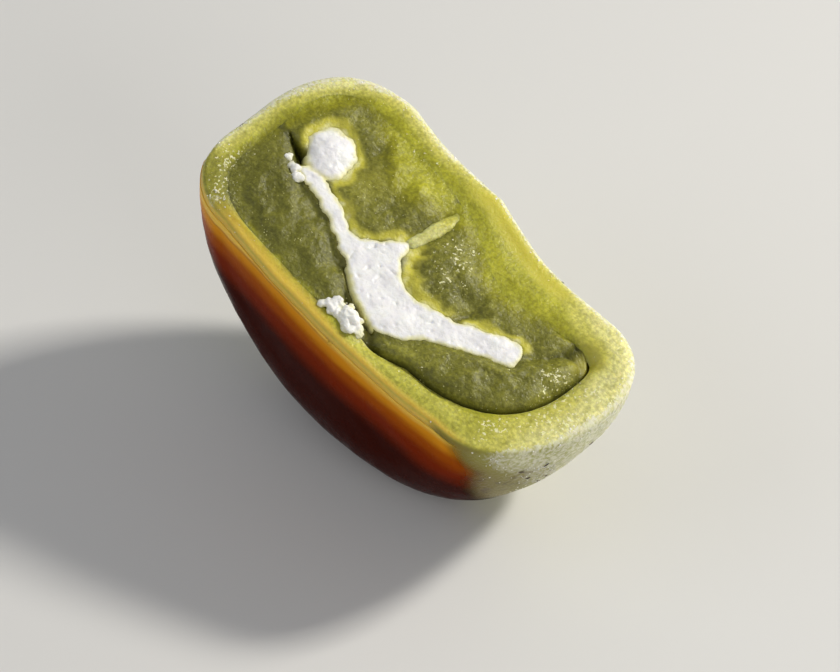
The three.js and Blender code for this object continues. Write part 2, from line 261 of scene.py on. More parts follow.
def depth_inside(x, y, outline):
    """How far each point lies inside a closed outline. It is below 0 outside."""
    best = np.full(x.shape, np.inf)
    inside = np.zeros(x.shape, bool)
    for (ax, ay), (bx, by) in zip(outline[:, :2], np.roll(outline, -1, axis=0)[:, :2]):
        dx, dy = bx - ax, by - ay
        t = np.clip(((x - ax) * dx + (y - ay) * dy) / (dx * dx + dy * dy + 1e-12), 0, 1)
        best = np.minimum(best, np.hypot(x - ax - t * dx, y - ay - t * dy))
        inside ^= ((ay > y) != (by > y)) & (x < ax + (y - ay) * dx / (dy if dy else 1e-12))
    return np.where(inside, best, -best)


def ramp(value, low, high):
    """Rises smoothly from 0 to 1 while value goes from low to high."""
    t = np.clip((value - low) / (high - low), 0, 1)
    return t * t * (3 - 2 * t)


def spot(x, y, middle, radius):
    """1 at a place on the cut, falling softly to 0 around it."""
    return np.exp(-((x - middle[0]) ** 2 + (y - middle[1]) ** 2) / radius**2)


def lumps(x, y, size, seed=0.0):
    """Smooth uneven relief from about -1 to 1, with lumps of that size."""
    flat = np.column_stack((np.ravel(x), np.ravel(y), np.full(np.size(x), seed))) / [size, size, 1]
    return np.array([noise.noise(p) for p in flat.tolist()]).reshape(np.shape(x)) * 1.6


def ragged(x, y, amount):
    """The same points pushed about a little, so that a line drawn through them is ragged."""
    across = 0.7 * lumps(x, y, 1.5, 11) + 0.3 * lumps(x, y, 0.5, 12)
    up = 0.7 * lumps(x, y, 1.5, 13) + 0.3 * lumps(x, y, 0.5, 14)
    return x + amount * across, y + amount * up


HAND_SEED = 7  # without a fixed seed, vector noise is offset by the clock and differs each run


def hand_shaped(points):
    """Moves points a little, the same for every piece, so that no surface is quite regular."""
    noise.seed_set(HAND_SEED)
    shift = np.array([noise.noise_vector(p) for p in (points / 7.0).tolist()])
    fine = np.array([noise.noise_vector(p) for p in (points / 2.2 + 9.0).tolist()])
    return points + 0.2 * shift + 0.05 * fine


# ---- Meshes ----


def patch(points, closed=False):
    """Corners and quads of a grid of points. A closed grid joins its last column to its first."""
    rows, columns = points.shape[:2]
    index = np.arange(rows * columns).reshape(rows, columns)
    if closed:
        index = np.column_stack((index, index[:, 0]))
    quads = np.stack((index[:-1, :-1], index[:-1, 1:], index[1:, 1:], index[1:, :-1]), axis=-1)
    return points.reshape(-1, 3), quads.reshape(-1, 4).tolist()


def new_object(name, corners, faces):
    """An object in the scene from corners and faces."""
    mesh = bpy.data.meshes.new(name)
    mesh.from_pydata(np.asarray(corners, float).tolist(), [], faces)
    piece = bpy.data.objects.new(name, mesh)
    bpy.context.scene.collection.objects.link(piece)
    return piece


def closed_shell(name, patches):
    """One closed mesh from patches that meet edge to edge."""
    corners, faces, start = [], [], 0
    for points, quads in patches:
        corners.append(points)
        faces += [[start + i for i in quad] for quad in quads]
        start += len(points)
    piece = new_object(name, np.vstack(corners), faces)
    shell = bmesh.new()
    shell.from_mesh(piece.data)
    bmesh.ops.remove_doubles(shell, verts=shell.verts, dist=1e-4)
    bmesh.ops.recalc_face_normals(shell, faces=shell.faces)
    shell.to_mesh(piece.data)
    shell.free()
    return piece


def block_under(name, level, low, high, step, floor):
    """A closed block that fills everything between floor and the height field level(x, y)."""
    columns, rows = (int(round((b - a) / step)) + 1 for a, b in zip(low, high))
    x, y = np.meshgrid(np.linspace(low[0], high[0], columns), np.linspace(low[1], high[1], rows))
    points, faces = patch(np.dstack((x, y, level(x, y))))
    index = np.arange(columns * rows).reshape(rows, columns)
    foot = len(points)
    feet = [(low[0], low[1]), (high[0], low[1]), (high[0], high[1]), (low[0], high[1])]
    points = np.vstack((points, [(x, y, floor) for x, y in feet]))
    for k, edge in enumerate((index[0], index[:, -1], index[-1, ::-1], index[::-1, 0])):
        faces.append([foot + k, foot + (k + 1) % 4, *edge[::-1].tolist()])
    faces.append([foot + 3, foot + 2, foot + 1, foot])
    return new_object(name, points, faces)


def prism(name, outline, bottom, top):
    """A closed outline raised from bottom to top."""
    count = len(outline)
    points = [(x, y, z) for z in (bottom, top) for x, y in outline]
    faces = [[i, (i + 1) % count, count + (i + 1) % count, count + i] for i in range(count)]
    faces += [list(range(count - 1, -1, -1)), list(range(count, 2 * count))]
    return new_object(name, points, faces)


def ribbon(path, grow=0.0):
    """The outline of a path of points (x, y, half-width)."""
    p = np.asarray(path, float)
    line = p[:, :2]
    along = np.gradient(line, axis=0)
    along /= np.linalg.norm(along, axis=1, keepdims=True)
    side = np.column_stack((-along[:, 1], along[:, 0])) * (p[:, 2:] + grow)
    ends = np.array([line[0] - along[0] * grow, line[-1] + along[-1] * grow])
    line = np.vstack((ends[:1], line[1:-1], ends[1:]))
    return np.vstack((line - side, (line + side)[::-1]))


def apply_modifiers(piece):
    """Makes the modified shape the piece's own mesh."""
    graph = bpy.context.evaluated_depsgraph_get()
    mesh = bpy.data.meshes.new_from_object(piece.evaluated_get(graph), depsgraph=graph)
    old, name = piece.data, piece.data.name
    piece.modifiers.clear()
    piece.data = mesh
    bpy.data.meshes.remove(old)
    mesh.name = name


def combine(piece, other, how):
    """Joins or cuts piece with another closed shape, which is used up."""
    cut = piece.modifiers.new("combine", "BOOLEAN")
    cut.operation, cut.solver, cut.object = how, "MANIFOLD", other
    apply_modifiers(piece)
    bpy.data.meshes.remove(other.data)
    if not piece.data.polygons:
        raise RuntimeError(f"nothing was left of {piece.name}")
    return piece


def corners_of(piece, field="co"):
    """The place of each corner, or with field "normal" its direction outwards."""
    flat = np.empty(len(piece.data.vertices) * 3)
    piece.data.vertices.foreach_get(field, flat)
    return flat.reshape(-1, 3)


def move_corners(piece, points):
    """Puts the corners at new places."""
    piece.data.vertices.foreach_set("co", points.ravel())
    piece.data.update()


def mark(piece, **values):
    """Stores a number for each corner under each name, for the materials and the dusting."""
    for name, value in values.items():
        layer = piece.data.attributes.new(name, "FLOAT", "POINT")
        layer.data.foreach_set("value", np.asarray(value, np.float32))


def place(piece, points, sharp=50):
    """Gives a piece its last points, lays it in the part's frame and presses it flat where it rests."""
    form = bpy.context.scene.mochi_form
    move_corners(piece, hand_shaped(points))
    turn = Matrix.Rotation(form.end_dip, 4, "Y") @ Matrix.Rotation(form.top_rise, 4, "X")
    piece.data.transform(Matrix.Scale(MM, 4) @ Matrix.Translation(REST) @ turn)
    points = corners_of(piece)
    points[:, 2] = np.maximum(points[:, 2], 0)
    move_corners(piece, points)
    piece.data.shade_smooth()
    piece.data.set_sharp_from_angle(angle=np.radians(sharp))


def dress(piece, material, slot, *nodes):
    """Gives a finished piece its material, its body and the CAD nodes that it stands for."""
    piece.data.materials.clear()
    piece.data.materials.append(material)
    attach(piece, "root")
    if nodes:
        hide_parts(*nodes)


# ---- Levels and marks on the cut ----


def shrunk_away(x, y):
    """1 where the filling has shrunk away from the skin, and 0 where the two stick together."""
    return np.maximum(ramp(x, 0.5, 4) * ramp(y, 11, 8), ramp(x, 13, 16) * ramp(y, 18.5, 17))


def mouth_level(x, y):
    """Height of the skin at its inner edge on the cut."""
    pocket = spot(x, y, (17.8, 17.2), 1.3)
    level = -0.04 - 0.04 * ramp(y, 12, 17) - 0.25 * shrunk_away(x, y) - 0.8 * pocket
    return level + 0.08 * lumps(x, y, 2.0) + 0.04 * lumps(x, y, 0.8)


def valley(x, y):
    """How deep the knife has pressed the skin down near the crown."""
    return 0.6 * np.exp(-(((x - 7) / 8) ** 2) - ((y - 20.6) / 2.2) ** 2)


def caramel_end(x, z):
    """How far along the base a point lies, on a scale on which the caramel ends at one place at any depth."""
    return x - 2.2 * ramp(-z, 1, 5)


def paste_share(x, y):
    """How much each point of the cut looks like paste rather than dough."""
    soft = 0.5 + 1.3 * ramp(y, 5, 13)
    inside = depth_inside(*ragged(x, y, 0.5), smooth_loop(PASTE_TONE, 4))
    return ramp(inside, -soft, soft * 1.2)


def sparkle(x, y):
    """How much each point of the cut glitters."""
    spots = [amount * spot(x, y, (sx, sy), radius) for sx, sy, radius, amount in SPARKLES]
    return np.clip(0.22 + np.sum(spots, axis=0), 0, 1)


def lobe_depth(x, y, name):
    """How far each point lies inside a lobe of the paste."""
    return depth_inside(x, y, smooth_loop(LOBES[name]["outline"]))


# ---- Materials ----


def feed(tree, sockets, values):
    """Sets or links sockets by name or number. In a name, _ stands for a space."""
    for key, value in values.items():
        socket = sockets[key.replace("_", " ") if isinstance(key, str) else key]
        if isinstance(value, bpy.types.NodeSocket):
            tree.links.new(value, socket)
        else:
            socket.default_value = value


def put(tree, kind, inputs=None, **settings):
    """Adds a node. Each input is a value to set or an output to link."""
    node = tree.nodes.new(kind)
    for name, value in settings.items():
        setattr(node, name, value)
    feed(tree, node.inputs, inputs or {})
    return node


def math_node(tree, operation, a, b=0.5, c=None, clamp=False):
    """The result of a Math node."""
    inputs = {0: a, 1: b} if c is None else {0: a, 1: b, 2: c}
    return put(tree, "ShaderNodeMath", inputs, operation=operation, use_clamp=clamp).outputs[0]


def span(tree, value, low, high, to_low=0.0, to_high=1.0):
    """Maps low to high onto another range, smoothly and clamped."""
    inputs = {"Value": value, "From Min": low, "From Max": high, "To Min": to_low, "To Max": to_high}
    return put(tree, "ShaderNodeMapRange", inputs, interpolation_type="SMOOTHSTEP").outputs["Result"]


def blend(tree, amount, first, second, how="MIX"):
    """Mixes two colours."""
    node = put(tree, "ShaderNodeMix", data_type="RGBA", blend_type=how)
    sockets = [node.inputs[0], *(s for s in node.inputs if s.type == "RGBA")]
    for socket, value in zip(sockets, (amount, first, second)):
        if isinstance(value, bpy.types.NodeSocket):
            tree.links.new(value, socket)
        else:
            socket.default_value = value if isinstance(value, (int, float)) else (*value[:3], 1)
    return next(s for s in node.outputs if s.type == "RGBA")


def colour_ramp(tree, value, *stops):
    """A colour ramp with stops (position, colour)."""
    node = put(tree, "ShaderNodeValToRGB", {"Fac": value})
    bar = node.color_ramp
    bar.interpolation = "EASE"
    while len(bar.elements) < len(stops):
        bar.elements.new(1.0)
    for element, (position, colour) in zip(bar.elements, stops):
        element.position = position
        element.color = (*colour[:3], 1)
    return node.outputs["Color"]


def attribute(tree, name):
    """A number that mark() has stored on the piece."""
    return put(tree, "ShaderNodeAttribute", attribute_name=name, attribute_type="GEOMETRY").outputs["Fac"]


def object_place(tree):
    """The place on the object."""
    return put(tree, "ShaderNodeTexCoord").outputs["Object"]


def speckle(tree, place, size, detail=2.0, roughness=0.5):
    """Noise with features of that size in metres, a number or an output."""
    scale = math_node(tree, "DIVIDE", 1.0, size) if isinstance(size, bpy.types.NodeSocket) else 1 / size
    inputs = {"Vector": place, "Scale": scale, "Detail": detail, "Roughness": roughness}
    return put(tree, "ShaderNodeTexNoise", inputs).outputs["Fac"]


def built_once(name):
    """Makes a function that builds a node group return the same one whenever it is asked again."""

    def keep(build):
        return lambda: bpy.data.node_groups.get(name) or build(name)

    return keep


def node_group(name, inputs, outputs, colours=()):
    """An empty shader group, what it is given and what it puts out. Inputs are numbers."""
    group = bpy.data.node_groups.new(name, "ShaderNodeTree")
    for label, default, low, high in inputs:
        socket = group.interface.new_socket(label, in_out="INPUT", socket_type="NodeSocketFloat")
        socket.default_value, socket.min_value, socket.max_value = default, low, high
    for label in outputs:
        kind = "NodeSocketColor" if label in colours else "NodeSocketFloat"
        group.interface.new_socket(label, in_out="OUTPUT", socket_type=kind)
    return group, group.nodes.new("NodeGroupInput").outputs, group.nodes.new("NodeGroupOutput").inputs


def use_group(tree, group, **values):
    """The outputs of a group placed in a material or in another group."""
    node = tree.nodes.new("ShaderNodeGroup")
    node.node_tree = group
    feed(tree, node.inputs, values)
    return node.outputs


@built_once("Fine grain")
def fine_grain(name):
    """Group: soft mottling and the relief of ground rice, paste or cream."""
    group, given, result = node_group(
        name,
        [
            ("Grain size", 0.0003, 0.00001, 0.01),
            ("Patch size", 0.004, 0.0001, 0.1),
            ("Coarseness", 0.5, 0.0, 1.0),
        ],
        ["Height", "Mottle", "Grain"],
    )
    place = object_place(group)
    small = speckle(group, place, given["Grain size"], 3.0, 0.6)
    broad = speckle(group, place, given["Patch size"], 4.0, 0.6)
    scale = math_node(group, "DIVIDE", 0.55, given["Grain size"])
    cells = put(group, "ShaderNodeTexVoronoi", {"Vector": place, "Scale": scale}).outputs["Distance"]
    pebbles = math_node(group, "SUBTRACT", 1.0, cells, clamp=True)
    height = math_node(group, "MULTIPLY_ADD", pebbles, given["Coarseness"], small)
    mottle, grain = span(group, broad, 0.3, 0.7), span(group, small, 0.35, 0.68)
    feed(group, result, {"Height": height, "Mottle": mottle, "Grain": grain})
    arrange(group)
    return group


@built_once("Glints")
def glints(name):
    """Group: clusters of moist grains that catch the light, more of them where the amount is higher."""
    group, given, result = node_group(
        name, [("Grain size", 0.0002, 0.00001, 0.01), ("Amount", 0.3, 0.0, 1.0)], ["Mask"]
    )
    place = object_place(group)
    fine = speckle(group, place, given["Grain size"], 1.5, 0.6)
    cluster = math_node(group, "MULTIPLY", speckle(group, place, 0.0016), 0.3)
    more = math_node(group, "MULTIPLY_ADD", given["Amount"], 0.24, cluster)
    feed(group, result, {"Mask": span(group, math_node(group, "ADD", fine, more), 0.96, 1.03)})
    arrange(group)
    return group


@built_once("Starch veil")
def starch_veil(name):
    """Group: patchy dusting with starch, from a coverage between 0 and 1."""
    group, given, result = node_group(
        name, [("Coverage", 0.5, 0.0, 1.0), ("Patch size", 0.006, 0.0001, 0.1)], ["Mask", "Height"]
    )
    place = object_place(group)
    broad = speckle(group, place, given["Patch size"])
    cloud = speckle(group, place, 0.0004, 4.0, 0.7)
    lack = math_node(group, "MULTIPLY_ADD", given["Coverage"], -0.78, 1.5)
    above = math_node(group, "SUBTRACT", math_node(group, "MULTIPLY_ADD", broad, 0.95, cloud), lack)
    mask = span(group, above, -0.12, 0.16)
    feed(group, result, {"Mask": mask, "Height": math_node(group, "MULTIPLY", mask, cloud)})
    arrange(group)
    return group


CUT_MARKS = ("share", "rim", "stain", "lining", "shade", "sparkle")


@built_once("Cut face")
def cut_face(name):
    """Group: the cut, from dough where the share is 0 to paste where it is 1."""
    colours = bpy.context.scene.mochi_colours
    group, given, result = node_group(
        name,
        [(mark_name.capitalize(), 0.0, 0.0, 1.0) for mark_name in CUT_MARKS],
        ["Colour", "Roughness", "Height"],
        colours=["Colour"],
    )
    place = object_place(group)
    grain = use_group(group, fine_grain(), Grain_size=0.00026, Patch_size=0.0032, Coarseness=0.45)
    glint = use_group(group, glints(), Grain_size=0.00036, Amount=given["Sparkle"])["Mask"]
    cloud = math_node(group, "SUBTRACT", speckle(group, place, 0.0015, 3.0), 0.5)
    uneven = math_node(group, "MULTIPLY_ADD", cloud, 0.5, given["Share"])
    fine = speckle(group, place, 0.00034, 3.0)

    dough = blend(group, grain["Mottle"], colours.dough, colours.dough_bright)
    dough = blend(group, span(group, uneven, 0.05, 0.55), dough, colours.dough_deep)
    dough = blend(group, span(group, given["Rim"], 0.0, 0.5), dough, colours.dough_light)
    dough = blend(group, span(group, given["Rim"], 0.5, 1.0), dough, colours.dough_rim)
    spots = span(group, speckle(group, place, 0.0009, 5.0), 0.54, 0.3, 0.0, 0.4)
    dough = blend(group, spots, dough, colours.dough_deep)
    dough = blend(group, 1.0, dough, span(group, fine, 0.3, 0.7, 0.8, 1.17), "MULTIPLY")

    paste = blend(group, grain["Mottle"], colours.paste_dark, colours.paste)
    flecks = span(group, speckle(group, place, 0.0005, 4.0), 0.5, 0.68, 0.0, 0.55)
    paste = blend(group, flecks, paste, colours.paste_light)
    paste = blend(group, 1.0, paste, span(group, fine, 0.3, 0.7, 0.8, 1.16), "MULTIPLY")

    colour = blend(group, span(group, uneven, 0.4, 0.95), dough, paste)
    # Lining: thin dough beside the cream, and painted glow and light where the marks put it
    colour = blend(group, span(group, given["Lining"], 0.0, 0.6), colour, colours.lining)
    colour = blend(group, span(group, given["Lining"], 0.6, 1.0), colour, colours.cream_fringe)
    # Caramel stain along the lower edge, made bright partly as painted glow
    colour = blend(group, given["Stain"], colour, colours.caramel_thin_and_glow)
    # Painted shade, in creases, clefts and hollows and down the buried sides
    colour = blend(group, math_node(group, "MULTIPLY", given["Shade"], 0.85), colour, colours.cleft_shade)
    lit = math_node(group, "MULTIPLY", glint, math_node(group, "SUBTRACT", 0.8, given["Shade"], clamp=True))
    colour = blend(group, lit, colour, colours.glint)
    dull = span(group, grain["Grain"], 0.0, 1.0, 0.48, 0.34)
    rough = math_node(group, "MULTIPLY_ADD", lit, -0.2, dull)
    height = math_node(group, "MULTIPLY_ADD", lit, 0.8, grain["Height"])
    feed(group, result, {"Colour": colour, "Roughness": rough, "Height": height})
    arrange(group)
    return group


def place_cut_face(tree):
    """The cut's group in a material, fed by the piece's own attributes."""
    return use_group(tree, cut_face(), **{name.capitalize(): attribute(tree, name) for name in CUT_MARKS})


def material(name, **fixed):
    """A material, its nodes and its Principled shader with some fixed values."""
    made = bpy.data.materials.new(name)
    made.use_nodes = True
    tree = made.node_tree
    shader = next(n for n in tree.nodes if n.type == "BSDF_PRINCIPLED")
    feed(tree, shader.inputs, fixed)
    return made, tree, shader.inputs


def bump(tree, shader, height, distance, strength=1.0):
    """Gives the shader relief of that depth in metres."""
    node = put(tree, "ShaderNodeBump", {"Height": height, "Distance": distance, "Strength": strength})
    tree.links.new(node.outputs["Normal"], shader["Normal"])


def arrange(tree):
    """Spreads the nodes out in columns, from the sources on the left to the output on the right."""
    column = {node: 0 for node in tree.nodes}
    for _ in range(len(tree.nodes)):
        for link in tree.links:
            column[link.from_node] = max(column[link.from_node], column[link.to_node] + 1)
    filled = {}
    for node, place in column.items():
        row = filled[place] = filled.get(place, -1) + 1
        node.location = (-240 * place, -260 * row)


def dough_material():
    """Rice dough: its cut face, and its outside with starch, caramel, toasted and scorched patches and
    painted shade towards the bottom of its right end.
    """
    colours = bpy.context.scene.mochi_colours
    made, tree, shader = material(
        "rice dough",
        Subsurface_Weight=0.7,
        Subsurface_Radius=(1.0, 0.85, 0.25),
        Subsurface_Scale=0.0018,
        IOR=1.45,
        Specular_IOR_Level=0.5,
    )
    cut, toasty, burnt_and_shade = (attribute(tree, name) for name in ("cut", "toast", "scorch_and_shade"))
    place = object_place(tree)
    face = place_cut_face(tree)
    patchy = use_group(tree, fine_grain(), Grain_size=0.00028, Patch_size=0.004, Coarseness=0.35)
    outside = blend(tree, patchy["Mottle"], colours.dough_outside, colours.dough)
    outside = blend(tree, attribute(tree, "base"), outside, colours.caramel_thin_and_glow)
    colour = blend(tree, cut, outside, face["Colour"])

    veil = use_group(tree, starch_veil(), Coverage=attribute(tree, "dusted"), Patch_size=0.007)
    powder = speckle(tree, place, 0.0004, 4.0)
    dust = blend(tree, span(tree, powder, 0.3, 0.65), colours.starch_shade, colours.starch)
    thin = math_node(tree, "MULTIPLY", veil["Mask"], span(tree, powder, 0.35, 0.6, 0.6, 0.92))
    colour = blend(tree, thin, colour, dust)
    colour = blend(tree, attribute(tree, "soaked"), colour, colours.soaked)

    crust = math_node(tree, "SUBTRACT", 1.0, cut, clamp=True)
    spots = span(tree, speckle(tree, place, 0.003, 2.5), 0.66, 0.8, 0.0, 0.7)
    grilled = span(tree, speckle(tree, place, 0.0014, 5.0), 0.36, 0.64, 0.15, 0.9)
    spots = math_node(tree, "MULTIPLY", spots, crust)
    toast = math_node(tree, "MAXIMUM", spots, math_node(tree, "MULTIPLY", grilled, toasty))
    colour = blend(tree, toast, colour, colours.toasted)
    # Painted shade growing towards the bottom of the right end, in the scorched colour
    colour = blend(tree, math_node(tree, "MULTIPLY", burnt_and_shade, 0.4), colour, colours.scorched_and_shade)
    patches = span(tree, speckle(tree, place, 0.0013, 6.0), 0.5, 0.72, 0.0, 0.75)
    burnt_and_shade = math_node(tree, "MULTIPLY_ADD", toasty, 0.5, burnt_and_shade)
    colour = blend(tree, math_node(tree, "MULTIPLY", burnt_and_shade, patches), colour, colours.scorched_and_shade)

    dry = math_node(tree, "MULTIPLY_ADD", veil["Mask"], 0.4, face["Roughness"], clamp=True)
    feed(tree, shader, {"Base Color": colour, "Roughness": dry})
    bump(tree, shader, math_node(tree, "MULTIPLY_ADD", veil["Height"], 0.8, face["Height"]), 0.0001, 0.7)
    arrange(tree)
    return made


def paste_material():
    """Matcha paste."""
    made, tree, shader = material(
        "matcha paste",
        Subsurface_Weight=0.5,
        Subsurface_Radius=(1.0, 0.9, 0.3),
        Subsurface_Scale=0.0014,
        IOR=1.42,
        Specular_IOR_Level=0.5,
    )
    face = place_cut_face(tree)
    feed(tree, shader, {"Base Color": face["Colour"], "Roughness": face["Roughness"]})
    bump(tree, shader, face["Height"], 0.00013, 0.8)
    arrange(tree)
    return made


def cream_material():
    """White cream, stained by the paste at its fringe, and darker down its buried sides, partly as stain and
    partly as painted shade.
    """
    colours = bpy.context.scene.mochi_colours
    made, tree, shader = material(
        "white cream",
        Subsurface_Weight=0.6,
        Subsurface_Radius=(1.0, 0.95, 0.85),
        Subsurface_Scale=0.0008,
        Roughness=0.42,
        IOR=1.42,
    )
    grain = use_group(tree, fine_grain(), Grain_size=0.00035, Patch_size=0.0016, Coarseness=0.25)
    mottle = math_node(tree, "MULTIPLY", grain["Mottle"], 0.6)
    colour = blend(tree, mottle, colours.cream, colours.cream_shade)
    colour = blend(tree, attribute(tree, "fringe"), colour, colours.cream_fringe)
    # Darker down its buried sides: partly the paste's stain, partly painted shade
    colour = blend(tree, attribute(tree, "deep"), colour, colours.cleft_shade)
    feed(tree, shader, {"Base Color": colour})
    bump(tree, shader, grain["Height"], 0.00012, 0.7)
    arrange(tree)
    return made


def caramel_material():
    """Caramel, streaked along the base, see-through where it ends, bright at the top partly as painted glow
    and darker further down, partly as painted shade.
    """
    colours = bpy.context.scene.mochi_colours
    made, tree, shader = material(
        "caramel glaze",
        Subsurface_Weight=0.1,
        Subsurface_Radius=(1.0, 0.4, 0.1),
        Subsurface_Scale=0.0008,
        Specular_IOR_Level=0.015,
        IOR=1.4,
    )
    stretched = {"Vector": object_place(tree), "Rotation": (0.0, 0.23, 0.0), "Scale": (60.0, 300.0, 420.0)}
    drawn = put(tree, "ShaderNodeMapping", stretched).outputs["Vector"]
    streak = speckle(tree, drawn, 1.0, 3.0)
    off_middle = math_node(tree, "SUBTRACT", streak, 0.5)
    wander = math_node(tree, "MULTIPLY_ADD", off_middle, 0.16, attribute(tree, "down"))
    # From the top edge down: thin caramel brightened as painted glow, then thicker caramel darkened partly as
    # painted shade
    colour = colour_ramp(
        tree,
        wander,
        (0.0, colours.caramel_edge_and_glow),
        (0.1, colours.caramel_light_and_glow),
        (0.26, colours.caramel),
        (0.46, colours.caramel_deep),
        (0.75, colours.caramel_dark_and_shade),
    )
    off_line = math_node(tree, "ABSOLUTE", math_node(tree, "SUBTRACT", wander, 0.05))
    groove = math_node(tree, "MULTIPLY", span(tree, off_line, 0.03, 0.0), attribute(tree, "grooved"))
    colour = blend(tree, math_node(tree, "MULTIPLY", groove, 0.5), colour, colours.caramel)
    faded = math_node(tree, "MULTIPLY_ADD", streak, 0.3, attribute(tree, "soaked"))
    smear = speckle(tree, object_place(tree), 0.0016, 3.0)
    rough = span(tree, smear, 0.35, 0.7, 0.2, 0.36)
    feed(tree, shader, {"Base Color": colour, "Alpha": span(tree, faded, 1.0, 0.2), "Roughness": rough})
    relief = math_node(tree, "MULTIPLY_ADD", streak, 0.6, smear)
    bump(tree, shader, math_node(tree, "MULTIPLY_ADD", groove, -1.5, relief), 0.0001, 0.25)
    arrange(tree)
    return made


def grain_material(name, colour, second, roughness):
    """Material of scattered grains, which vary from one to the next."""
    made, tree, shader = material(name, Roughness=roughness)
    place = object_place(tree)
    varied = span(tree, speckle(tree, place, 0.0009, 1.0), 0.35, 0.65)
    feed(tree, shader, {"Base Color": blend(tree, varied, colour, second)})
    bump(tree, shader, speckle(tree, place, 0.0001), 0.00004, 0.6)
    arrange(tree)
    return made


# ---- Grains on a surface, by Geometry Nodes ----


@built_once("Strewn grains")
def scatter_tree(name):
    """Geometry Nodes tree that strews uneven grains over the marked part of a surface."""
    tree = bpy.data.node_groups.new(name, "GeometryNodeTree")
    new = tree.interface.new_socket
    new("Geometry", in_out="INPUT", socket_type="NodeSocketGeometry")
    for label, kind, default in (
        ("Density", "NodeSocketFloat", 1e6),
        ("Smallest", "NodeSocketFloat", 0.0001),
        ("Largest", "NodeSocketFloat", 0.0003),
        ("Flatness", "NodeSocketFloat", 0.7),
        ("Patch size", "NodeSocketFloat", 0.004),
        ("Patchiness", "NodeSocketFloat", 0.5),
        ("Seed", "NodeSocketInt", 1),
    ):
        new(label, in_out="INPUT", socket_type=kind).default_value = default
    new("Mark", in_out="INPUT", socket_type="NodeSocketString")
    new("Material", in_out="INPUT", socket_type="NodeSocketMaterial")
    new("Geometry", in_out="OUTPUT", socket_type="NodeSocketGeometry")
    given, result = tree.nodes.new("NodeGroupInput").outputs, tree.nodes.new("NodeGroupOutput").inputs

    def chance(low, high):
        """Three random numbers for each grain."""
        inputs = {"Min": low, "Max": high, "Seed": given["Seed"]}
        return put(tree, "FunctionNodeRandomValue", inputs, data_type="FLOAT_VECTOR").outputs[0]

    def vector_math(operation, inputs):
        return put(tree, "ShaderNodeVectorMath", inputs, operation=operation).outputs[0]

    # Where the grains fall: on the marked part, in patches
    marked = put(tree, "GeometryNodeInputNamedAttribute", {"Name": given["Mark"]}, data_type="FLOAT")
    scale = math_node(tree, "DIVIDE", 1.0, given["Patch size"])
    cloud = put(tree, "ShaderNodeTexNoise", {"Scale": scale, "Detail": 3.0}).outputs["Fac"]
    low = math_node(tree, "MULTIPLY_ADD", given["Patchiness"], 0.25, 0.3)
    high = math_node(tree, "ADD", low, 0.15)
    patches = put(tree, "ShaderNodeMapRange", {"Value": cloud, "From Min": low, "From Max": high})
    density = math_node(tree, "MULTIPLY", marked.outputs["Attribute"], patches.outputs["Result"])
    density = math_node(tree, "MULTIPLY", density, given["Density"])
    strewn = put(
        tree,
        "GeometryNodeDistributePointsOnFaces",
        {"Mesh": given["Geometry"], "Density": density, "Seed": given["Seed"]},
        distribute_method="RANDOM",
    )

    # How large each one is along its three axes, and how it is turned
    spread = math_node(tree, "SUBTRACT", given["Largest"], given["Smallest"])
    scaled = vector_math("SCALE", {0: chance((0.0, 0.0, 0.0), (1.0, 1.0, 1.0)), "Scale": spread})
    least = put(tree, "ShaderNodeCombineXYZ", {axis: given["Smallest"] for axis in "XYZ"}).outputs[0]
    flat = put(tree, "ShaderNodeCombineXYZ", {"X": 1.0, "Y": 1.0, "Z": given["Flatness"]}).outputs[0]
    size = vector_math("MULTIPLY", {0: vector_math("ADD", {0: scaled, 1: least}), 1: flat})
    turned = put(
        tree,
        "FunctionNodeRotateRotation",
        {0: strewn.outputs["Rotation"], 1: chance((-0.3, -0.3, 0.0), (0.3, 0.3, 6.28))},
        rotation_space="LOCAL",
    )

    grain = put(tree, "GeometryNodeMeshIcoSphere", {"Radius": 0.5, "Subdivisions": 1}).outputs["Mesh"]
    laid = put(
        tree,
        "GeometryNodeInstanceOnPoints",
        {"Points": strewn.outputs["Points"], "Instance": grain, "Rotation": turned.outputs[0], "Scale": size},
    )
    real = put(tree, "GeometryNodeRealizeInstances", {"Geometry": laid.outputs[0]})
    done = put(tree, "GeometryNodeSetMaterial", {"Geometry": real.outputs[0], "Material": given["Material"]})
    tree.links.new(done.outputs[0], result[0])
    arrange(tree)
    return tree


def strew(name, surface, material, **inputs):
    """A new piece of grains strewn on a surface."""
    carrier = bpy.data.objects.new(name, surface.data.copy())
    bpy.context.scene.collection.objects.link(carrier)
    tree = scatter_tree()
    sockets = {s.name: s.identifier for s in tree.interface.items_tree if s.in_out == "INPUT"}
    modifier = carrier.modifiers.new("strewn grains", "NODES")
    modifier.node_group = tree
    for label, value in {**inputs, "Material": material}.items():
        modifier[sockets[label.replace("_", " ")]] = value
    apply_modifiers(carrier)
    if not carrier.data.polygons:
        raise RuntimeError(f"{name} has no grains")
    return carrier


# ---- Settings ----


def colour_property(name, description, rgb):
    """A colour given as it looks on a screen, from 0 to 255."""
    linear = [((c / 255 + 0.055) / 1.055) ** 2.4 for c in rgb]
    return FloatVectorProperty(
        name=name, description=description, default=linear, subtype="COLOR", min=0.0, max=1.0, size=3
    )


class MochiForm(bpy.types.PropertyGroup):
    end_dip: FloatProperty(
        name="End dip", description="How far the right end dips", default=np.radians(13.2), subtype="ANGLE"
    )
    top_rise: FloatProperty(
        name="Top rise", description="How far the dome is raised", default=np.radians(5.6), subtype="ANGLE"
    )
    rim: FloatProperty(
        name="Rim rounding",
        description="Rounding of the skin at the cut",
        default=0.0009,
        unit="LENGTH",
        precision=4,
    )
    glaze: FloatProperty(
        name="Glaze thickness",
        description="Thickness of the caramel on the base",
        default=0.0004,
        unit="LENGTH",
        precision=4,
    )
    paste_step: FloatProperty(
        name="Paste detail",
        description="Spacing of the paste's mesh",
        default=0.00016,
        unit="LENGTH",
        precision=5,
    )


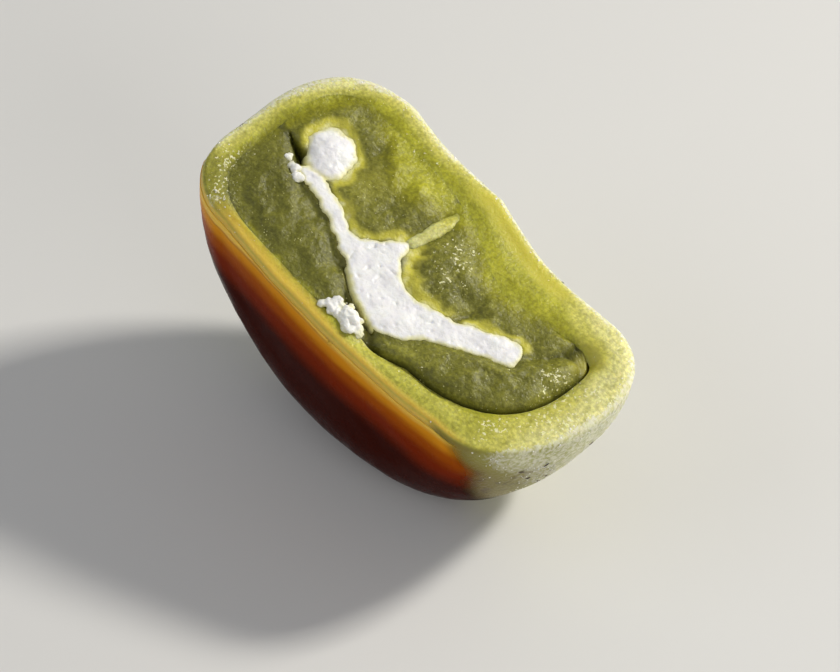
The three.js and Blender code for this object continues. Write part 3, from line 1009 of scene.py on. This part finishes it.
class MochiColours(bpy.types.PropertyGroup):
    dough: colour_property("Dough", "Cut face of the skin", (162, 160, 38))
    dough_bright: colour_property("Bright dough", "Brighter patches of the skin", (182, 179, 52))
    dough_light: colour_property("Light dough", "Skin between its rim and its middle", (202, 197, 96))
    dough_rim: colour_property("Dough rim", "Cut face of the skin beside its outer edge", (226, 222, 152))
    dough_deep: colour_property("Deep dough", "Skin beside the filling", (140, 137, 26))
    dough_outside: colour_property("Dough outside", "Outer surface of the skin", (170, 174, 96))
    # Besides the real lining, this colour carries painted glow through the skin and on the lit pocket wall,
    # and painted light right of the cream's head
    lining: colour_property("Lining", "Dough pressed thin between the paste and the cream", (204, 196, 76))
    soaked: colour_property("Soaked dough", "Skin where the caramel thins out", (136, 122, 34))
    starch: colour_property("Starch", "Dusting on the skin", (230, 228, 204))
    starch_shade: colour_property("Thin starch", "Dusting where it is thin", (206, 205, 166))
    toasted: colour_property("Toasted", "Toasted patches of the skin", (150, 118, 42))
    # Also used as painted shade towards the bottom of the right end
    scorched_and_shade: colour_property("Scorched", "Scorched patches beside the base", (78, 56, 34))
    charred: colour_property("Charred", "Charred flecks", (64, 44, 26))
    paste: colour_property("Paste", "Matcha paste", (136, 134, 48))
    paste_dark: colour_property("Dark paste", "Darker patches of the paste", (108, 107, 34))
    paste_light: colour_property("Light paste", "Grains of the paste", (158, 155, 68))
    # Painted shade, put where creases, clefts and the cream's buried sides lie in shade
    cleft_shade: colour_property("Cleft", "Bottom of the clefts in the paste", (52, 54, 12))
    glint: colour_property("Glint", "Moist grains that catch the light", (244, 241, 196))
    cream: colour_property("Cream", "Cream core", (250, 249, 245))
    cream_shade: colour_property("Cream shade", "Cooler patches of the cream", (232, 229, 236))
    cream_fringe: colour_property("Cream fringe", "Cream stained by the paste", (236, 230, 160))
    # The caramel colours near the rim are made brighter as painted glow of light through the skin's thin
    # edge; those lower down are made darker partly as painted shade
    caramel_edge_and_glow: colour_property("Caramel edge", "Thinnest caramel, below the rim", (246, 202, 88))
    caramel_thin_and_glow: colour_property("Thin caramel", "Skin stained by caramel", (230, 194, 80))
    caramel_light_and_glow: colour_property("Light caramel", "Caramel below the rim", (222, 146, 26))
    caramel: colour_property("Caramel", "Caramel halfway down", (164, 78, 6))
    caramel_deep: colour_property("Deep caramel", "Caramel lower down", (122, 38, 6))
    caramel_dark_and_shade: colour_property("Dark caramel", "Thickest caramel, at the bottom", (58, 14, 4))


class MochiDusting(bpy.types.PropertyGroup):
    starch_density: FloatProperty(name="Starch", description="Starch grains per square metre", default=3.2e6)
    char_density: FloatProperty(name="Char", description="Charred flecks per square metre", default=6.5e5)
    moist_density: FloatProperty(name="Moist grains", description="Wet grains per square metre", default=5e6)
    seed: IntProperty(name="Seed", description="Changes where the grains fall", default=7, min=0)


# ---- Pieces ----


def rounded_edge(outline, rim):
    """Rings that round the skin's outer edge off, from its side up to the cut."""
    inward = inward_of(outline) * (rim * (0.6 + 0.75 * ramp(outline[:, 1], 6, 16)))[:, None]
    rings = []
    for a in np.linspace(0, np.pi / 2, 9):
        ring = outline + inward * (1 - np.cos(a))
        ring[:, 2] = rim * (np.sin(a) - 1)
        rings.append(ring)
    return np.stack(rings)


def skin_face(edge, mouth):
    """The skin's face on the cut, from its rounded edge to the lip that reaches over the paste."""
    stuck = 1 - shrunk_away(mouth[:, 0], mouth[:, 1])
    lip = mouth + inward_of(mouth) * (LIP * stuck)[:, None]
    share = np.linspace(0, 1, 36)[:, None]
    face = edge[None] + (lip - edge)[None] * share[..., None]
    x, y = face[..., 0], face[..., 1]
    past = depth_inside(x, y, mouth)
    width = np.linalg.norm(lip - edge, axis=1)[None, :]
    reached = np.clip(share * width / np.linalg.norm(mouth - edge, axis=1), 0, 1)
    puff = 0.18 * np.sin(np.pi * reached) ** 2 * ramp(width, 2, 5)
    slope = mouth_level(x, y) * reached**1.5 - 0.5 * ramp(past, 0.2, LIP) * stuck[None, :]
    rounded = 0.25 * shrunk_away(x, y) * ramp(past, -0.8, 0) ** 2
    face[..., 2] = puff + slope - rounded
    return face


def skin_marks(x, y, z, normals, mouth):
    """How much each corner of the skin is cut, pale, stained, dusted, soaked, toasted and so on."""
    from_edge, in_mouth = depth_inside(x, y, skin_edge()), depth_inside(x, y, mouth)
    on_cut = ramp(normals[:, 2], 0.3, 0.8) * ramp(z, -2.2, -0.9)
    on_cut = np.maximum(on_cut, ramp(z, -3, -2) * ramp(from_edge, 1.2, 1.9))
    crust = 1 - on_cut
    under = ramp(-normals[:, 1], 0.25, 0.75) * crust * ramp(y, 12, 7)

    # The cut is pale and dusted along its outer edge, and widest at the ends and the upper left
    low = ramp(y, 7.5, 3.5) * ramp(x, 21, 15)
    right, left = ramp(x, 9, 18), ramp(x, -15, -20) * ramp(y, 4.5, 9)
    top = ramp(x, -1, -9) * ramp(y, 14, 19)
    wide = 1.9 + 4.6 * right + 0.9 * left + 0.8 * top
    pale = ramp(from_edge, wide, 0.2) * (0.66 + 0.3 * np.maximum(right, left) + 0.3 * top) * (1 - low)
    pale *= 1 - 0.3 * ramp(y, 9, 3)
    edge_dust = ramp(from_edge, 1.0 + 0.5 * right + 0.9 * left + 0.6 * top, 0.1) * (1 - low)
    # Painted shade: the cut at the left end's lower corner is given some of the paste's darker colour
    corner = ramp(x, -13, -18) * ramp(y, 9, 5)
    low_band = ramp(y, 6, 3) * ramp(x, -3, 2) * ramp(x, 20, 15)
    beside_pocket = spot(x, y, (19.8, 15.8), 2.2)
    by_mouth = 0.4 * ramp(in_mouth, -1.0, -0.1) * ramp(y, 7, 4) * ramp(x, 0, 6)

    # Light shines through the skin in the pocket and under the dome
    pocket = spot(x, y, (18.0, 17.2), 1.8) * ramp(in_mouth, -2.6, -0.6)
    glow = 0.6 * ramp(from_edge, 3.2, 1.4) * ramp(from_edge, 0.3, 1.0) * ramp(y, 12, 16)
    glow = glow * ramp(x, -6, 0) * ramp(x, 14, 10)

    # The outside is soaked where the caramel ends, dusted elsewhere, and toasted in a band below the dome
    end = caramel_end(x, z)
    wet = ramp(end, 12, 14.5) * ramp(end, 21.5, 16) * ramp(y, 9, 5)
    end_dust = ramp(x, 12, 18) * ramp(y, 12, 5)
    band = ramp(y, 14, 18) * ramp(x, 16, 8) * ramp(z, -0.7, -1.6) * ramp(z, -7, -3)
    powdered = 0.75 - 0.75 * under * ramp(end, 17, 14) - 0.3 * end_dust - 0.3 * band
    # Starch dusting at the left end's rim, which also stands for the glints there: partly painted highlight
    frost_and_glint = 0.6 * spot(x, y, (-18.4, 2.1), 1.0) * ramp(z, -3, -1.5)
    stain = ramp(from_edge, 1.1 + 1.2 * ramp(x, 2, -6), 0.15) * low
    share = np.max([paste_share(x, y) * (1 - shrunk_away(x, y)), 0.7 * corner, by_mouth], axis=0)
    return dict(
        cut=on_cut,
        share=share * on_cut,
        # Painted light: the low band above the base is made paler against its shade
        rim=np.clip(pale + 0.2 * corner + 0.25 * low_band + 0.3 * beside_pocket, 0, 1),
        stain=stain * on_cut * ramp(x, -20, -14) * ramp(x, 18, 14),
        # On the skin the lining colour is painted glow, where light shines through
        lining=np.maximum(0.6 * pocket, glow) * on_cut,
        shade=0.8 * ramp(z, -1.6, -3.0) * ramp(from_edge, 1.5, 2.5),
        sparkle=np.maximum(sparkle(x, y), 0.6 * edge_dust) * on_cut,
        base=under * ramp(end, 16, 13) * ramp(x, -23.3, -20.5),
        soaked=crust * wet,
        dusted=np.clip(crust * (1 - 0.9 * wet) * powdered + 0.95 * edge_dust * (1 - wet) + frost_and_glint, 0, 1),
        # Scorched patches at the right end, with painted shade growing towards its bottom
        scorch_and_shade=crust * end_dust * (0.1 + 0.9 * ramp(z, -1.5, -8)),
        toast=crust * band,
        charred=crust * (1 - under) * (1 - low) * (0.25 + 0.75 * np.maximum(band, end_dust)),
    )


class MOCHI_OT_skin(bpy.types.Operator):
    """Build the rice-dough skin with its rounded rim and cut face"""

    bl_idname = "mochi.skin"
    bl_label = "Skin"

    def execute(self, context):
        rim = context.scene.mochi_form.rim / MM
        outer = half_round(OUTER, OUTER_MIDDLE, turns=150, detail=6)
        inner = half_round(CAVITY, CAVITY_MIDDLE, turns=50, detail=6)
        mouth = rim_of(inner)
        rings = rounded_edge(rim_of(outer), rim)
        face = skin_face(rings[-1], mouth)
        cavity = inner.copy()
        cavity[..., 2] = -LIP_DEPTH + inner[..., 2] * (1 + LIP_DEPTH / inner[..., 2].min())
        outer[..., 2] -= rim
        back_of_lip = patch(np.stack((face[-1], rim_of(cavity))), closed=True)
        skin = closed_shell(
            "rice_skin",
            [patch(outer), patch(rings, closed=True), patch(face, closed=True), back_of_lip, patch(cavity)],
        )
        points = corners_of(skin)
        points[:, 2] -= valley(points[:, 0], points[:, 1]) * ramp(points[:, 2], -4, 0)
        move_corners(skin, hand_shaped(points))
        mark(skin, **skin_marks(*points.T, corners_of(skin, "normal"), mouth))
        place(skin, points)
        dress(skin, dough_material(), "rice_skin", "mochi_skin")
        return {"FINISHED"}


class MOCHI_OT_fold(bpy.types.Operator):
    """Build the thin fold of skin that reaches in between two lobes"""

    bl_idname = "mochi.fold"
    bl_label = "Fold"

    def execute(self, context):
        outline = smooth_loop(ribbon(FOLD))

        def level(x, y):
            inside = depth_inside(*ragged(x, y, 0.15), outline)
            crest = 0.3 - 0.35 * (1 - np.sqrt(np.clip(inside / 0.55, 0, 1)))
            sides = np.where(inside > 0, crest, -0.05 + 2.2 * inside)
            ends = 0.42 * ramp(y, 15.8, 19.2) + 0.1 * ramp(y, 13.8, 12.9)
            return sides + 0.06 * lumps(x, y, 0.8) - ends - valley(x, y)

        fold = block_under("skin_fold", level, (-4.5, 12), (1.5, 22), FOLD_STEP, -FOLD_DEPTH - 1)
        around = prism("outline", smooth_loop(ribbon(FOLD, FOLD_SKIRT)), -FOLD_DEPTH, 3)
        points = corners_of(combine(fold, around, "INTERSECT"))
        x, y, _ = points.T
        inside = depth_inside(x, y, outline)
        unused = ("lining", "stain", "shade", "base", "soaked", "dusted", "scorch_and_shade", "toast")
        mark(
            fold,
            cut=0 * x + 1,
            share=0.6 * ramp(inside, 0.0, -0.3),
            # The fold's lower end is made paler: painted light where it lies in shade beside the cream
            rim=(0.3 + 0.5 * ramp(y, 18.8, 15.8) + 0.2 * ramp(y, 15, 13)) * ramp(inside, -0.25, 0.1),
            sparkle=0.6 * sparkle(x, y),
            **dict.fromkeys(unused, 0 * x),
        )
        place(fold, points)
        dress(fold, bpy.data.materials["rice dough"], "rice_skin", "mochi_skin")
        return {"FINISHED"}


def cream_depth(x, y):
    """How far each point lies inside the cream's strip and inside its head, on the cut."""
    x, y = ragged(x, y, 0.3)
    strip = depth_inside(x, y, smooth_loop(CREAM_OUTLINE))
    (mx, my), slant, (long, short) = CREAM_HEAD["middle"], CREAM_HEAD["slant"], CREAM_HEAD["radii"]
    along = (x - mx) * np.cos(slant) + (y - my) * np.sin(slant)
    across = (y - my) * np.cos(slant) - (x - mx) * np.sin(slant)
    return strip, short * (1 - np.hypot(along / long, across / short))


def cream_level(x, y):
    """Height of the cream's top on the cut."""
    strip, head = cream_depth(x, y)
    short, rise = CREAM_HEAD["radii"][1], CREAM_HEAD["rise"]
    flat = CREAM_TOP + CREAM_EDGE * (1 - np.sqrt(np.clip(strip / 0.5, 0, 1)))
    dome = rise - (rise - CREAM_EDGE - CREAM_TOP) * np.clip(1 - head / short, 0, 1) ** 2.0
    inside = np.maximum(strip, head)
    nothing = -9
    level = np.maximum(np.where(strip > 0, flat, nothing), np.where(head > 0, dome, nothing))
    level = np.where(inside > 0, level, CREAM_TOP + CREAM_EDGE + 3 * inside)
    pits = 0.16 * ramp(lumps(x, y, 0.7, 8), 0.6, 1.0) * ramp(inside, 0.2, 0.5)
    level = level + 0.12 * lumps(x, y, 2.2, 3) + 0.05 * lumps(x, y, 0.8, 5)
    return level + 0.02 * lumps(x, y, 0.35, 6) - pits


def cream_prism(name, grow):
    """The cream's outline raised into a block, grown all round by grow."""
    outline = smooth_loop(CREAM_OUTLINE)
    outline = outline - inward_of(np.column_stack((outline, 0 * outline[:, 0])))[:, :2] * grow
    turn = np.linspace(0, 2 * np.pi, 64, endpoint=False)
    slant, (long, short) = CREAM_HEAD["slant"], CREAM_HEAD["radii"]
    along, across = (long + grow) * np.cos(turn), (short + grow) * np.sin(turn)
    head_x = along * np.cos(slant) - across * np.sin(slant)
    head_y = along * np.sin(slant) + across * np.cos(slant)
    head = np.column_stack((head_x, head_y)) + CREAM_HEAD["middle"]
    body = prism(name, outline, -CREAM_DEPTH, 4)
    return combine(body, prism("head", head, -short * 2, 4), "UNION")


def paste_level(x, y, filling):
    """Height of the paste's top on the cut, and the painted shade on it: in creases, hollows and clefts, on
    the left lobe and where the paste falls away from the skin.
    """
    heights, nearness = [], []
    for lobe in LOBES.values():
        inside = depth_inside(x, y, smooth_loop(lobe["outline"]))
        t = 1 - np.clip(inside / lobe["shoulder"], 0, 1)
        heights.append(lobe["edge"] + np.where(inside > 0, lobe["rise"] * (1 - t**2.4), LOBE_FALL * inside))
        nearness.append(inside)
    level = np.maximum(PASTE_FLOOR, np.max(heights, axis=0))
    # Painted shade: darker in the creases between lobes, and in the hollows below
    painted_shade = 1 - ramp(np.max(nearness, axis=0), -0.3, 0.7)
    for hx, hy, radius, depth in HOLLOWS:
        near = spot(x, y, (hx, hy), radius)
        level = level - depth * near
        painted_shade = np.maximum(painted_shade, 1.3 * depth * near)
    level += 0.2 * lumps(x, y, 2.6) + 0.11 * lumps(x, y, 1.1, 2) + 0.045 * lumps(x, y, 0.5, 4)

    # At the cavity's wall the paste either meets the skin or has shrunk away from it
    wall = depth_inside(x, y, filling)
    stuck = mouth_level(x, y) + 0.02 - valley(x, y)
    stuck += (level - stuck) * ramp(wall, 0, 3.0)
    by_pocket = ramp(x, 14, 18) * ramp(y, 12, 15)
    shrunk = level - (1.4 - 0.5 * by_pocket) * (1 - np.clip(wall / (0.8 - 0.45 * by_pocket), 0, 1)) ** 2
    shrink = shrunk_away(x, y)
    level = stuck * (1 - shrink) + shrunk * shrink

    # It meets the cream's edge and fills up the crease beside the fold, where its painted shade is lessened
    in_cream = np.maximum(*cream_depth(x, y))
    meet = PASTE_BY_CREAM + CREAM_EDGE - 1.6 * np.maximum(in_cream, 0)
    level = meet + (level - meet) * ramp(in_cream, 0.1, -1.1)
    in_fold = depth_inside(x, y, smooth_loop(ribbon(FOLD)))
    beside = -0.08 - valley(x, y)
    level += (beside - level) * (ramp(in_fold, -0.9, 0.1) * ramp(y, 18.4, 17.0))
    painted_shade = painted_shade * (1 - 0.8 * ramp(in_fold, -1.6, -0.3))

    # Painted shade: the left lobe is darker, most of all beside the cream, and so is the paste where it falls
    # away from the skin
    on_left = ramp(lobe_depth(x, y, "left"), -0.9, 0.1)
    flank = ramp(in_cream, -0.6 - 1.0 * ramp(x, -9, -2), -0.1) * (0.1 + 0.3 * ramp(x, -9, -2))
    painted_shade = np.maximum(painted_shade, np.maximum(flank, 0.44) * on_left)
    painted_shade = np.maximum(painted_shade, 0.9 * shrink * ramp(wall, 0.6, 0.1))
    for path, depth, dark in CLEFTS:
        inside = depth_inside(*ragged(x, y, 0.2), smooth_loop(ribbon(path), 4))
        level = level - depth * ramp(inside, -0.2, 0.2)
        painted_shade = np.maximum(painted_shade, dark * ramp(inside, -0.3, 0.05))
    return level, np.clip(painted_shade, 0, 1)


def paste_marks(x, y, z, painted_shade):
    """How much each corner of the paste has the colour of paste and of the thin lining, and how much painted
    shade it has in creases and clefts; in places the lining colour is painted light and glow.
    """
    near_cream = np.maximum(*cream_depth(x, y))
    lower = np.maximum(*(ramp(lobe_depth(x, y, name), -0.6, 0.2) for name in ("left", "right")))
    halo = -1.3 - 1.6 * np.exp(-((x + 0.5) ** 2) / 8) - 0.6 * lumps(x, y, 2.5, 7)
    lining = ramp(near_cream, halo, 0.1) * (1 - lower) * (0.8 + 0.3 * lumps(x, y, 0.9, 9))
    # Painted glow on the lit wall of the pocket, in the lining colour, with its painted shade taken away
    pocket = 0.45 * spot(x, y, (18.3, 17.0), 1.5)
    vivid = spot(x, y, (-17.2, 14.2), 2.4)
    return dict(
        share=np.maximum(paste_share(x, y), 0.9 * shrunk_away(x, y)) * (1 - 0.5 * vivid),
        rim=0 * x,
        stain=0 * x,
        # Painted light: the paste is made brighter to the right of the cream's head
        lining=lining + 0.17 * spot(x, y, (-10.3, 15.0), 3.0) + 1.4 * pocket,
        shade=0.9 * painted_shade * ramp(painted_shade, 0.1, 0.6) * (1 - pocket),
        sparkle=sparkle(x, y) * (1 - painted_shade),
        top=ramp(z, -4.5, -3.0) * sparkle(x, y),
    )


class MOCHI_OT_paste(bpy.types.Operator):
    """Build the matcha paste with its lobes, creases and the channel for the cream"""

    bl_idname = "mochi.paste"
    bl_label = "Paste"

    def execute(self, context):
        step = context.scene.mochi_form.paste_step / MM * 1
        rows = half_round(CAVITY, CAVITY_MIDDLE, PASTE_GAP, turns=90)
        outline = rim_of(rows)
        lifted = outline + [0, 0, 3]
        wall = patch(np.stack((outline, lifted)), closed=True)
        lid = (lifted, [list(range(len(lifted)))])
        body = closed_shell("matcha_filling", [patch(rows), wall, lid])
        filling = filling_edge(PASTE_GAP)

        top = block_under("top", lambda x, y: paste_level(x, y, filling)[0], (-22, 1), (21, 22), step, -26)
        combine(body, top, "INTERSECT")
        combine(body, cream_prism("channel", -0.4), "DIFFERENCE")
        points = corners_of(body)
        x, y, z = points.T
        mark(body, **paste_marks(x, y, z, paste_level(x, y, filling)[1]))
        place(body, points)
        dress(body, paste_material(), "matcha_paste", "matcha_paste")
        return {"FINISHED"}


class MOCHI_OT_cream(bpy.types.Operator):
    """Build the cream core with its round head"""

    bl_idname = "mochi.cream"
    bl_label = "Cream"

    def execute(self, context):
        step = CREAM_STEP * 1
        body = block_under("cream_core", cream_level, (-19, 2.5), (15.5, 17.5), step, -CREAM_DEPTH - 1)
        combine(body, cream_prism("outline", CREAM_SKIRT), "INTERSECT")
        points = corners_of(body)
        inside = np.maximum(*cream_depth(points[:, 0], points[:, 1]))
        # deep marks how far down the cream's side each corner lies, for its stain and its painted shade
        mark(body, fringe=1 - ramp(inside, -0.1, 0.6), deep=ramp(points[:, 2], -0.5, -1.3))
        place(body, points)
        dress(body, cream_material(), "cream", "cream_band")
        return {"FINISHED"}


class MOCHI_OT_glaze(bpy.types.Operator):
    """Build the caramel that coats the base of the cake"""

    bl_idname = "mochi.glaze"
    bl_label = "Glaze"

    def execute(self, context):
        form = context.scene.mochi_form
        outer = half_round(OUTER, OUTER_MIDDLE, turns=150, detail=6)
        outer[..., 2] -= form.rim / MM
        turn = np.linspace(0, np.pi, len(outer))
        # The share of each profile that is coated, from the base's middle up the side
        edge = 0.25 + 0.12 * (1 - np.exp(-turn / 0.35)) + 0.012 * np.sin(5 * turn + 1)
        edge = edge + 0.008 * np.sin(13 * turn) + 0.05 * np.sin(turn) ** 2
        across = np.linspace(0, 1, 60)
        shares = np.linspace(0, 1, outer.shape[1])
        sheet = np.array(
            [
                np.column_stack([np.interp(across * e, shares, row[:, k]) for k in range(3)])
                for row, e in zip(outer, edge)
            ]
        )
        out = np.cross(np.gradient(sheet, axis=1), np.gradient(sheet, axis=0))
        out[:, 0] = (0, -1, 0)
        out /= np.linalg.norm(out, axis=2, keepdims=True) + 1e-9
        bead = np.sqrt(np.clip(1 - across**10, 0, 1)) * (1 + 0.5 * ramp(across, 0.7, 0.92))
        ends = np.sqrt(np.clip(np.sin(turn) / 0.06, 0, 1))
        thin = 0.1 + 0.9 * ramp(sheet[..., 0], 17.5, 12)
        thick = form.glaze / MM * bead[None, :] * ends[:, None] * thin
        front = sheet + out * thick[..., None]
        back = sheet - out * 0.1
        back[:, -1] = front[:, -1] = sheet[:, -1]
        sides = [patch(np.stack((front[i], back[i]))) for i in (0, -1)]
        glaze = closed_shell("caramel_glaze", [patch(front), patch(back), *sides])
        points = corners_of(glaze)
        x, y, z = points.T
        mark(
            glaze,
            down=np.clip((-z - 0.8) / 12 - 0.05 * ramp(x, -8, -16), 0, 1),
            soaked=ramp(caramel_end(x, z), 13.6, 18.6),
            grooved=ramp(x, 4, -4) * ramp(x, -21, -17),
        )
        points[:, 2] -= valley(x, y) * ramp(z, -4, 0)
        place(glaze, points)
        dress(glaze, caramel_material(), "rice_skin")
        return {"FINISHED"}


class MOCHI_OT_dusting(bpy.types.Operator):
    """Strew starch grains, charred flecks and moist grains of paste"""

    bl_idname = "mochi.dusting"
    bl_label = "Dusting"

    def execute(self, context):
        settings, colours = context.scene.mochi_dusting, context.scene.mochi_colours
        skin, filling = bpy.data.objects["rice_skin"], bpy.data.objects["matcha_filling"]
        flour = grain_material("starch grains", colours.starch, (0.95, 0.94, 0.88), 0.7)
        char = grain_material("charred flecks", colours.charred, colours.scorched_and_shade, 0.55)
        beads = grain_material("moist grains", colours.paste_light, colours.dough_rim, 0.12)
        starch = strew(
            "starch_grains", skin, flour, Mark="dusted", Density=settings.starch_density, Smallest=0.00007,
            Largest=0.00026, Flatness=0.7, Patch_size=0.003, Patchiness=0.6, Seed=settings.seed,
        )
        flecks = strew(
            "charred_flecks", skin, char, Mark="charred", Density=settings.char_density, Smallest=0.00012,
            Largest=0.0008, Flatness=0.2, Patch_size=0.003, Patchiness=0.7, Seed=settings.seed + 1,
        )
        moist = strew(
            "moist_grains", filling, beads, Mark="top", Density=settings.moist_density, Smallest=0.00005,
            Largest=0.00017, Flatness=0.8, Patch_size=0.002, Patchiness=0.6, Seed=settings.seed + 2,
        )
        dress(starch, flour, "rice_skin")
        dress(flecks, char, "rice_skin")
        dress(moist, beads, "matcha_paste")
        return {"FINISHED"}


class MOCHI_OT_crumbs(bpy.types.Operator):
    """Scatter the crumbs of cream that the knife has left on the cut"""

    bl_idname = "mochi.crumbs"
    bl_label = "Crumbs"

    def execute(self, context):
        chance = np.random.default_rng(context.scene.mochi_dusting.seed)
        crumbs = bmesh.new()
        filling = filling_edge()
        for x, y, spread_x, spread_y, count, largest in CRUMB_HEAPS:
            for k in range(count):
                away = 0.42 * chance.normal(size=2)
                size = largest * (0.35 + 0.65 * chance.random() ** 2 if k else 1) * 0.5
                at_x, at_y = x + spread_x * away[0], y + spread_y * away[1]
                level = max(paste_level(np.array([at_x]), np.array([at_y]), filling)[0][0], -0.2)
                heaped = np.exp(-(away @ away) * 2.5) * 0.18 * largest
                at = Vector((at_x, at_y, level + 0.1 * size + heaped))
                new = bmesh.ops.create_icosphere(crumbs, subdivisions=4, radius=1)["verts"]
                stretch = Vector((size * (1 + 0.5 * chance.random()), size, size * 0.7))
                shift = Vector(chance.random(3) * 40)
                turn = Matrix.Rotation(chance.random() * 6.3, 3, "Z")
                for v in new:
                    swell = 1 + 0.5 * noise.noise(v.co * 1.3 + shift) + 0.22 * noise.noise(v.co * 3.0 + shift)
                    v.co = turn @ (v.co * stretch) * swell + at
        piece = new_object("cream_crumbs", [(0, 0, 0)], [])
        crumbs.to_mesh(piece.data)
        crumbs.free()
        melt = piece.modifiers.new("melt", "REMESH")
        melt.mode, melt.voxel_size = "VOXEL", 0.07
        soften = piece.modifiers.new("soften", "SMOOTH")
        soften.factor, soften.iterations = 0.5, 4
        apply_modifiers(piece)
        points = corners_of(piece)
        mark(piece, fringe=0.1 + 0.6 * ramp(points[:, 2], 0.4, 0.0), deep=0 * points[:, 2])
        place(piece, points)
        dress(piece, bpy.data.materials["white cream"], "cream")
        return {"FINISHED"}


class MOCHI_OT_stage(bpy.types.Operator):
    """Add the floor, the lights and the camera"""

    bl_idname = "mochi.stage"
    bl_label = "Stage"

    def execute(self, context):
        scene = context.scene
        floor = new_object("floor", [(-3, -3, 0), (3, -3, 0), (3, 3, 0), (-3, 3, 0)], [[0, 1, 2, 3]])
        pale, _, _ = material("pale floor", Base_Color=(0.72, 0.71, 0.69, 1), Roughness=0.6)
        floor.data.materials.append(pale)
        scene.world = bpy.data.worlds.new("studio")
        scene.world.use_nodes = True
        background = scene.world.node_tree.nodes["Background"].inputs
        background["Color"].default_value = (0.92, 0.95, 1.0, 1)
        background["Strength"].default_value = 0.26
        target = Vector((0.001, -0.001, 0.0145))
        for name, location, size, watts, colour in (
            ("key", (0.22, 0.46, 0.40), 0.09, 3.8, (1.0, 0.97, 0.9)),
            ("fill", (-0.35, -0.45, 0.35), 0.5, 0.9, (0.95, 0.97, 1.0)),
            ("side", (0.5, -0.1, 0.25), 0.3, 0.6, (1.0, 0.98, 0.95)),
        ):
            light = bpy.data.lights.new(name, "AREA")
            light.size, light.energy, light.color = size, watts, colour
            lamp = bpy.data.objects.new(name, light)
            lamp.location = location
            lamp.rotation_euler = (target - lamp.location).to_track_quat("-Z", "Y").to_euler()
            scene.collection.objects.link(lamp)
        azimuth, elevation, distance = np.radians(44.6), np.radians(47), 0.6
        level = np.cos(elevation)
        back = Vector((np.sin(azimuth) * level, -np.cos(azimuth) * level, np.sin(elevation)))
        view = bpy.data.cameras.new("camera")
        view.lens, view.sensor_width = 262, 36
        view.clip_start, view.clip_end = 0.05, 10
        camera = bpy.data.objects.new("camera", view)
        camera.location = target + back * distance
        camera.rotation_euler = (-back).to_track_quat("-Z", "Y").to_euler()
        scene.collection.objects.link(camera)
        scene.camera = camera
        scene.view_settings.view_transform = "Standard"
        return {"FINISHED"}


class MOCHI_PT_panel(bpy.types.Panel):
    bl_idname = "MOCHI_PT_panel"
    bl_label = "Matcha mochi half"
    bl_space_type = "VIEW_3D"
    bl_region_type = "UI"
    bl_category = "Mochi"

    def draw(self, context):
        for settings in (context.scene.mochi_form, context.scene.mochi_colours, context.scene.mochi_dusting):
            box = self.layout.box()
            for name in settings.__annotations__:
                box.prop(settings, name)
        for step in STEPS_OF_MAKING:
            self.layout.operator(step.bl_idname)


STEPS_OF_MAKING = (
    MOCHI_OT_skin,
    MOCHI_OT_fold,
    MOCHI_OT_paste,
    MOCHI_OT_cream,
    MOCHI_OT_glaze,
    MOCHI_OT_dusting,
    MOCHI_OT_crumbs,
    MOCHI_OT_stage,
)
CLASSES = (MochiForm, MochiColours, MochiDusting, *STEPS_OF_MAKING, MOCHI_PT_panel)


def register():
    for cls in CLASSES:
        bpy.utils.register_class(cls)
    bpy.types.Scene.mochi_form = PointerProperty(type=MochiForm)
    bpy.types.Scene.mochi_colours = PointerProperty(type=MochiColours)
    bpy.types.Scene.mochi_dusting = PointerProperty(type=MochiDusting)


def unregister():
    for name in ("mochi_form", "mochi_colours", "mochi_dusting"):
        delattr(bpy.types.Scene, name)
    for cls in reversed(CLASSES):
        bpy.utils.unregister_class(cls)


def main():
    register()
    for step in STEPS_OF_MAKING:
        group, name = step.bl_idname.split(".")
        getattr(getattr(bpy.ops, group), name)()


if __name__ == "__main__":
    main()
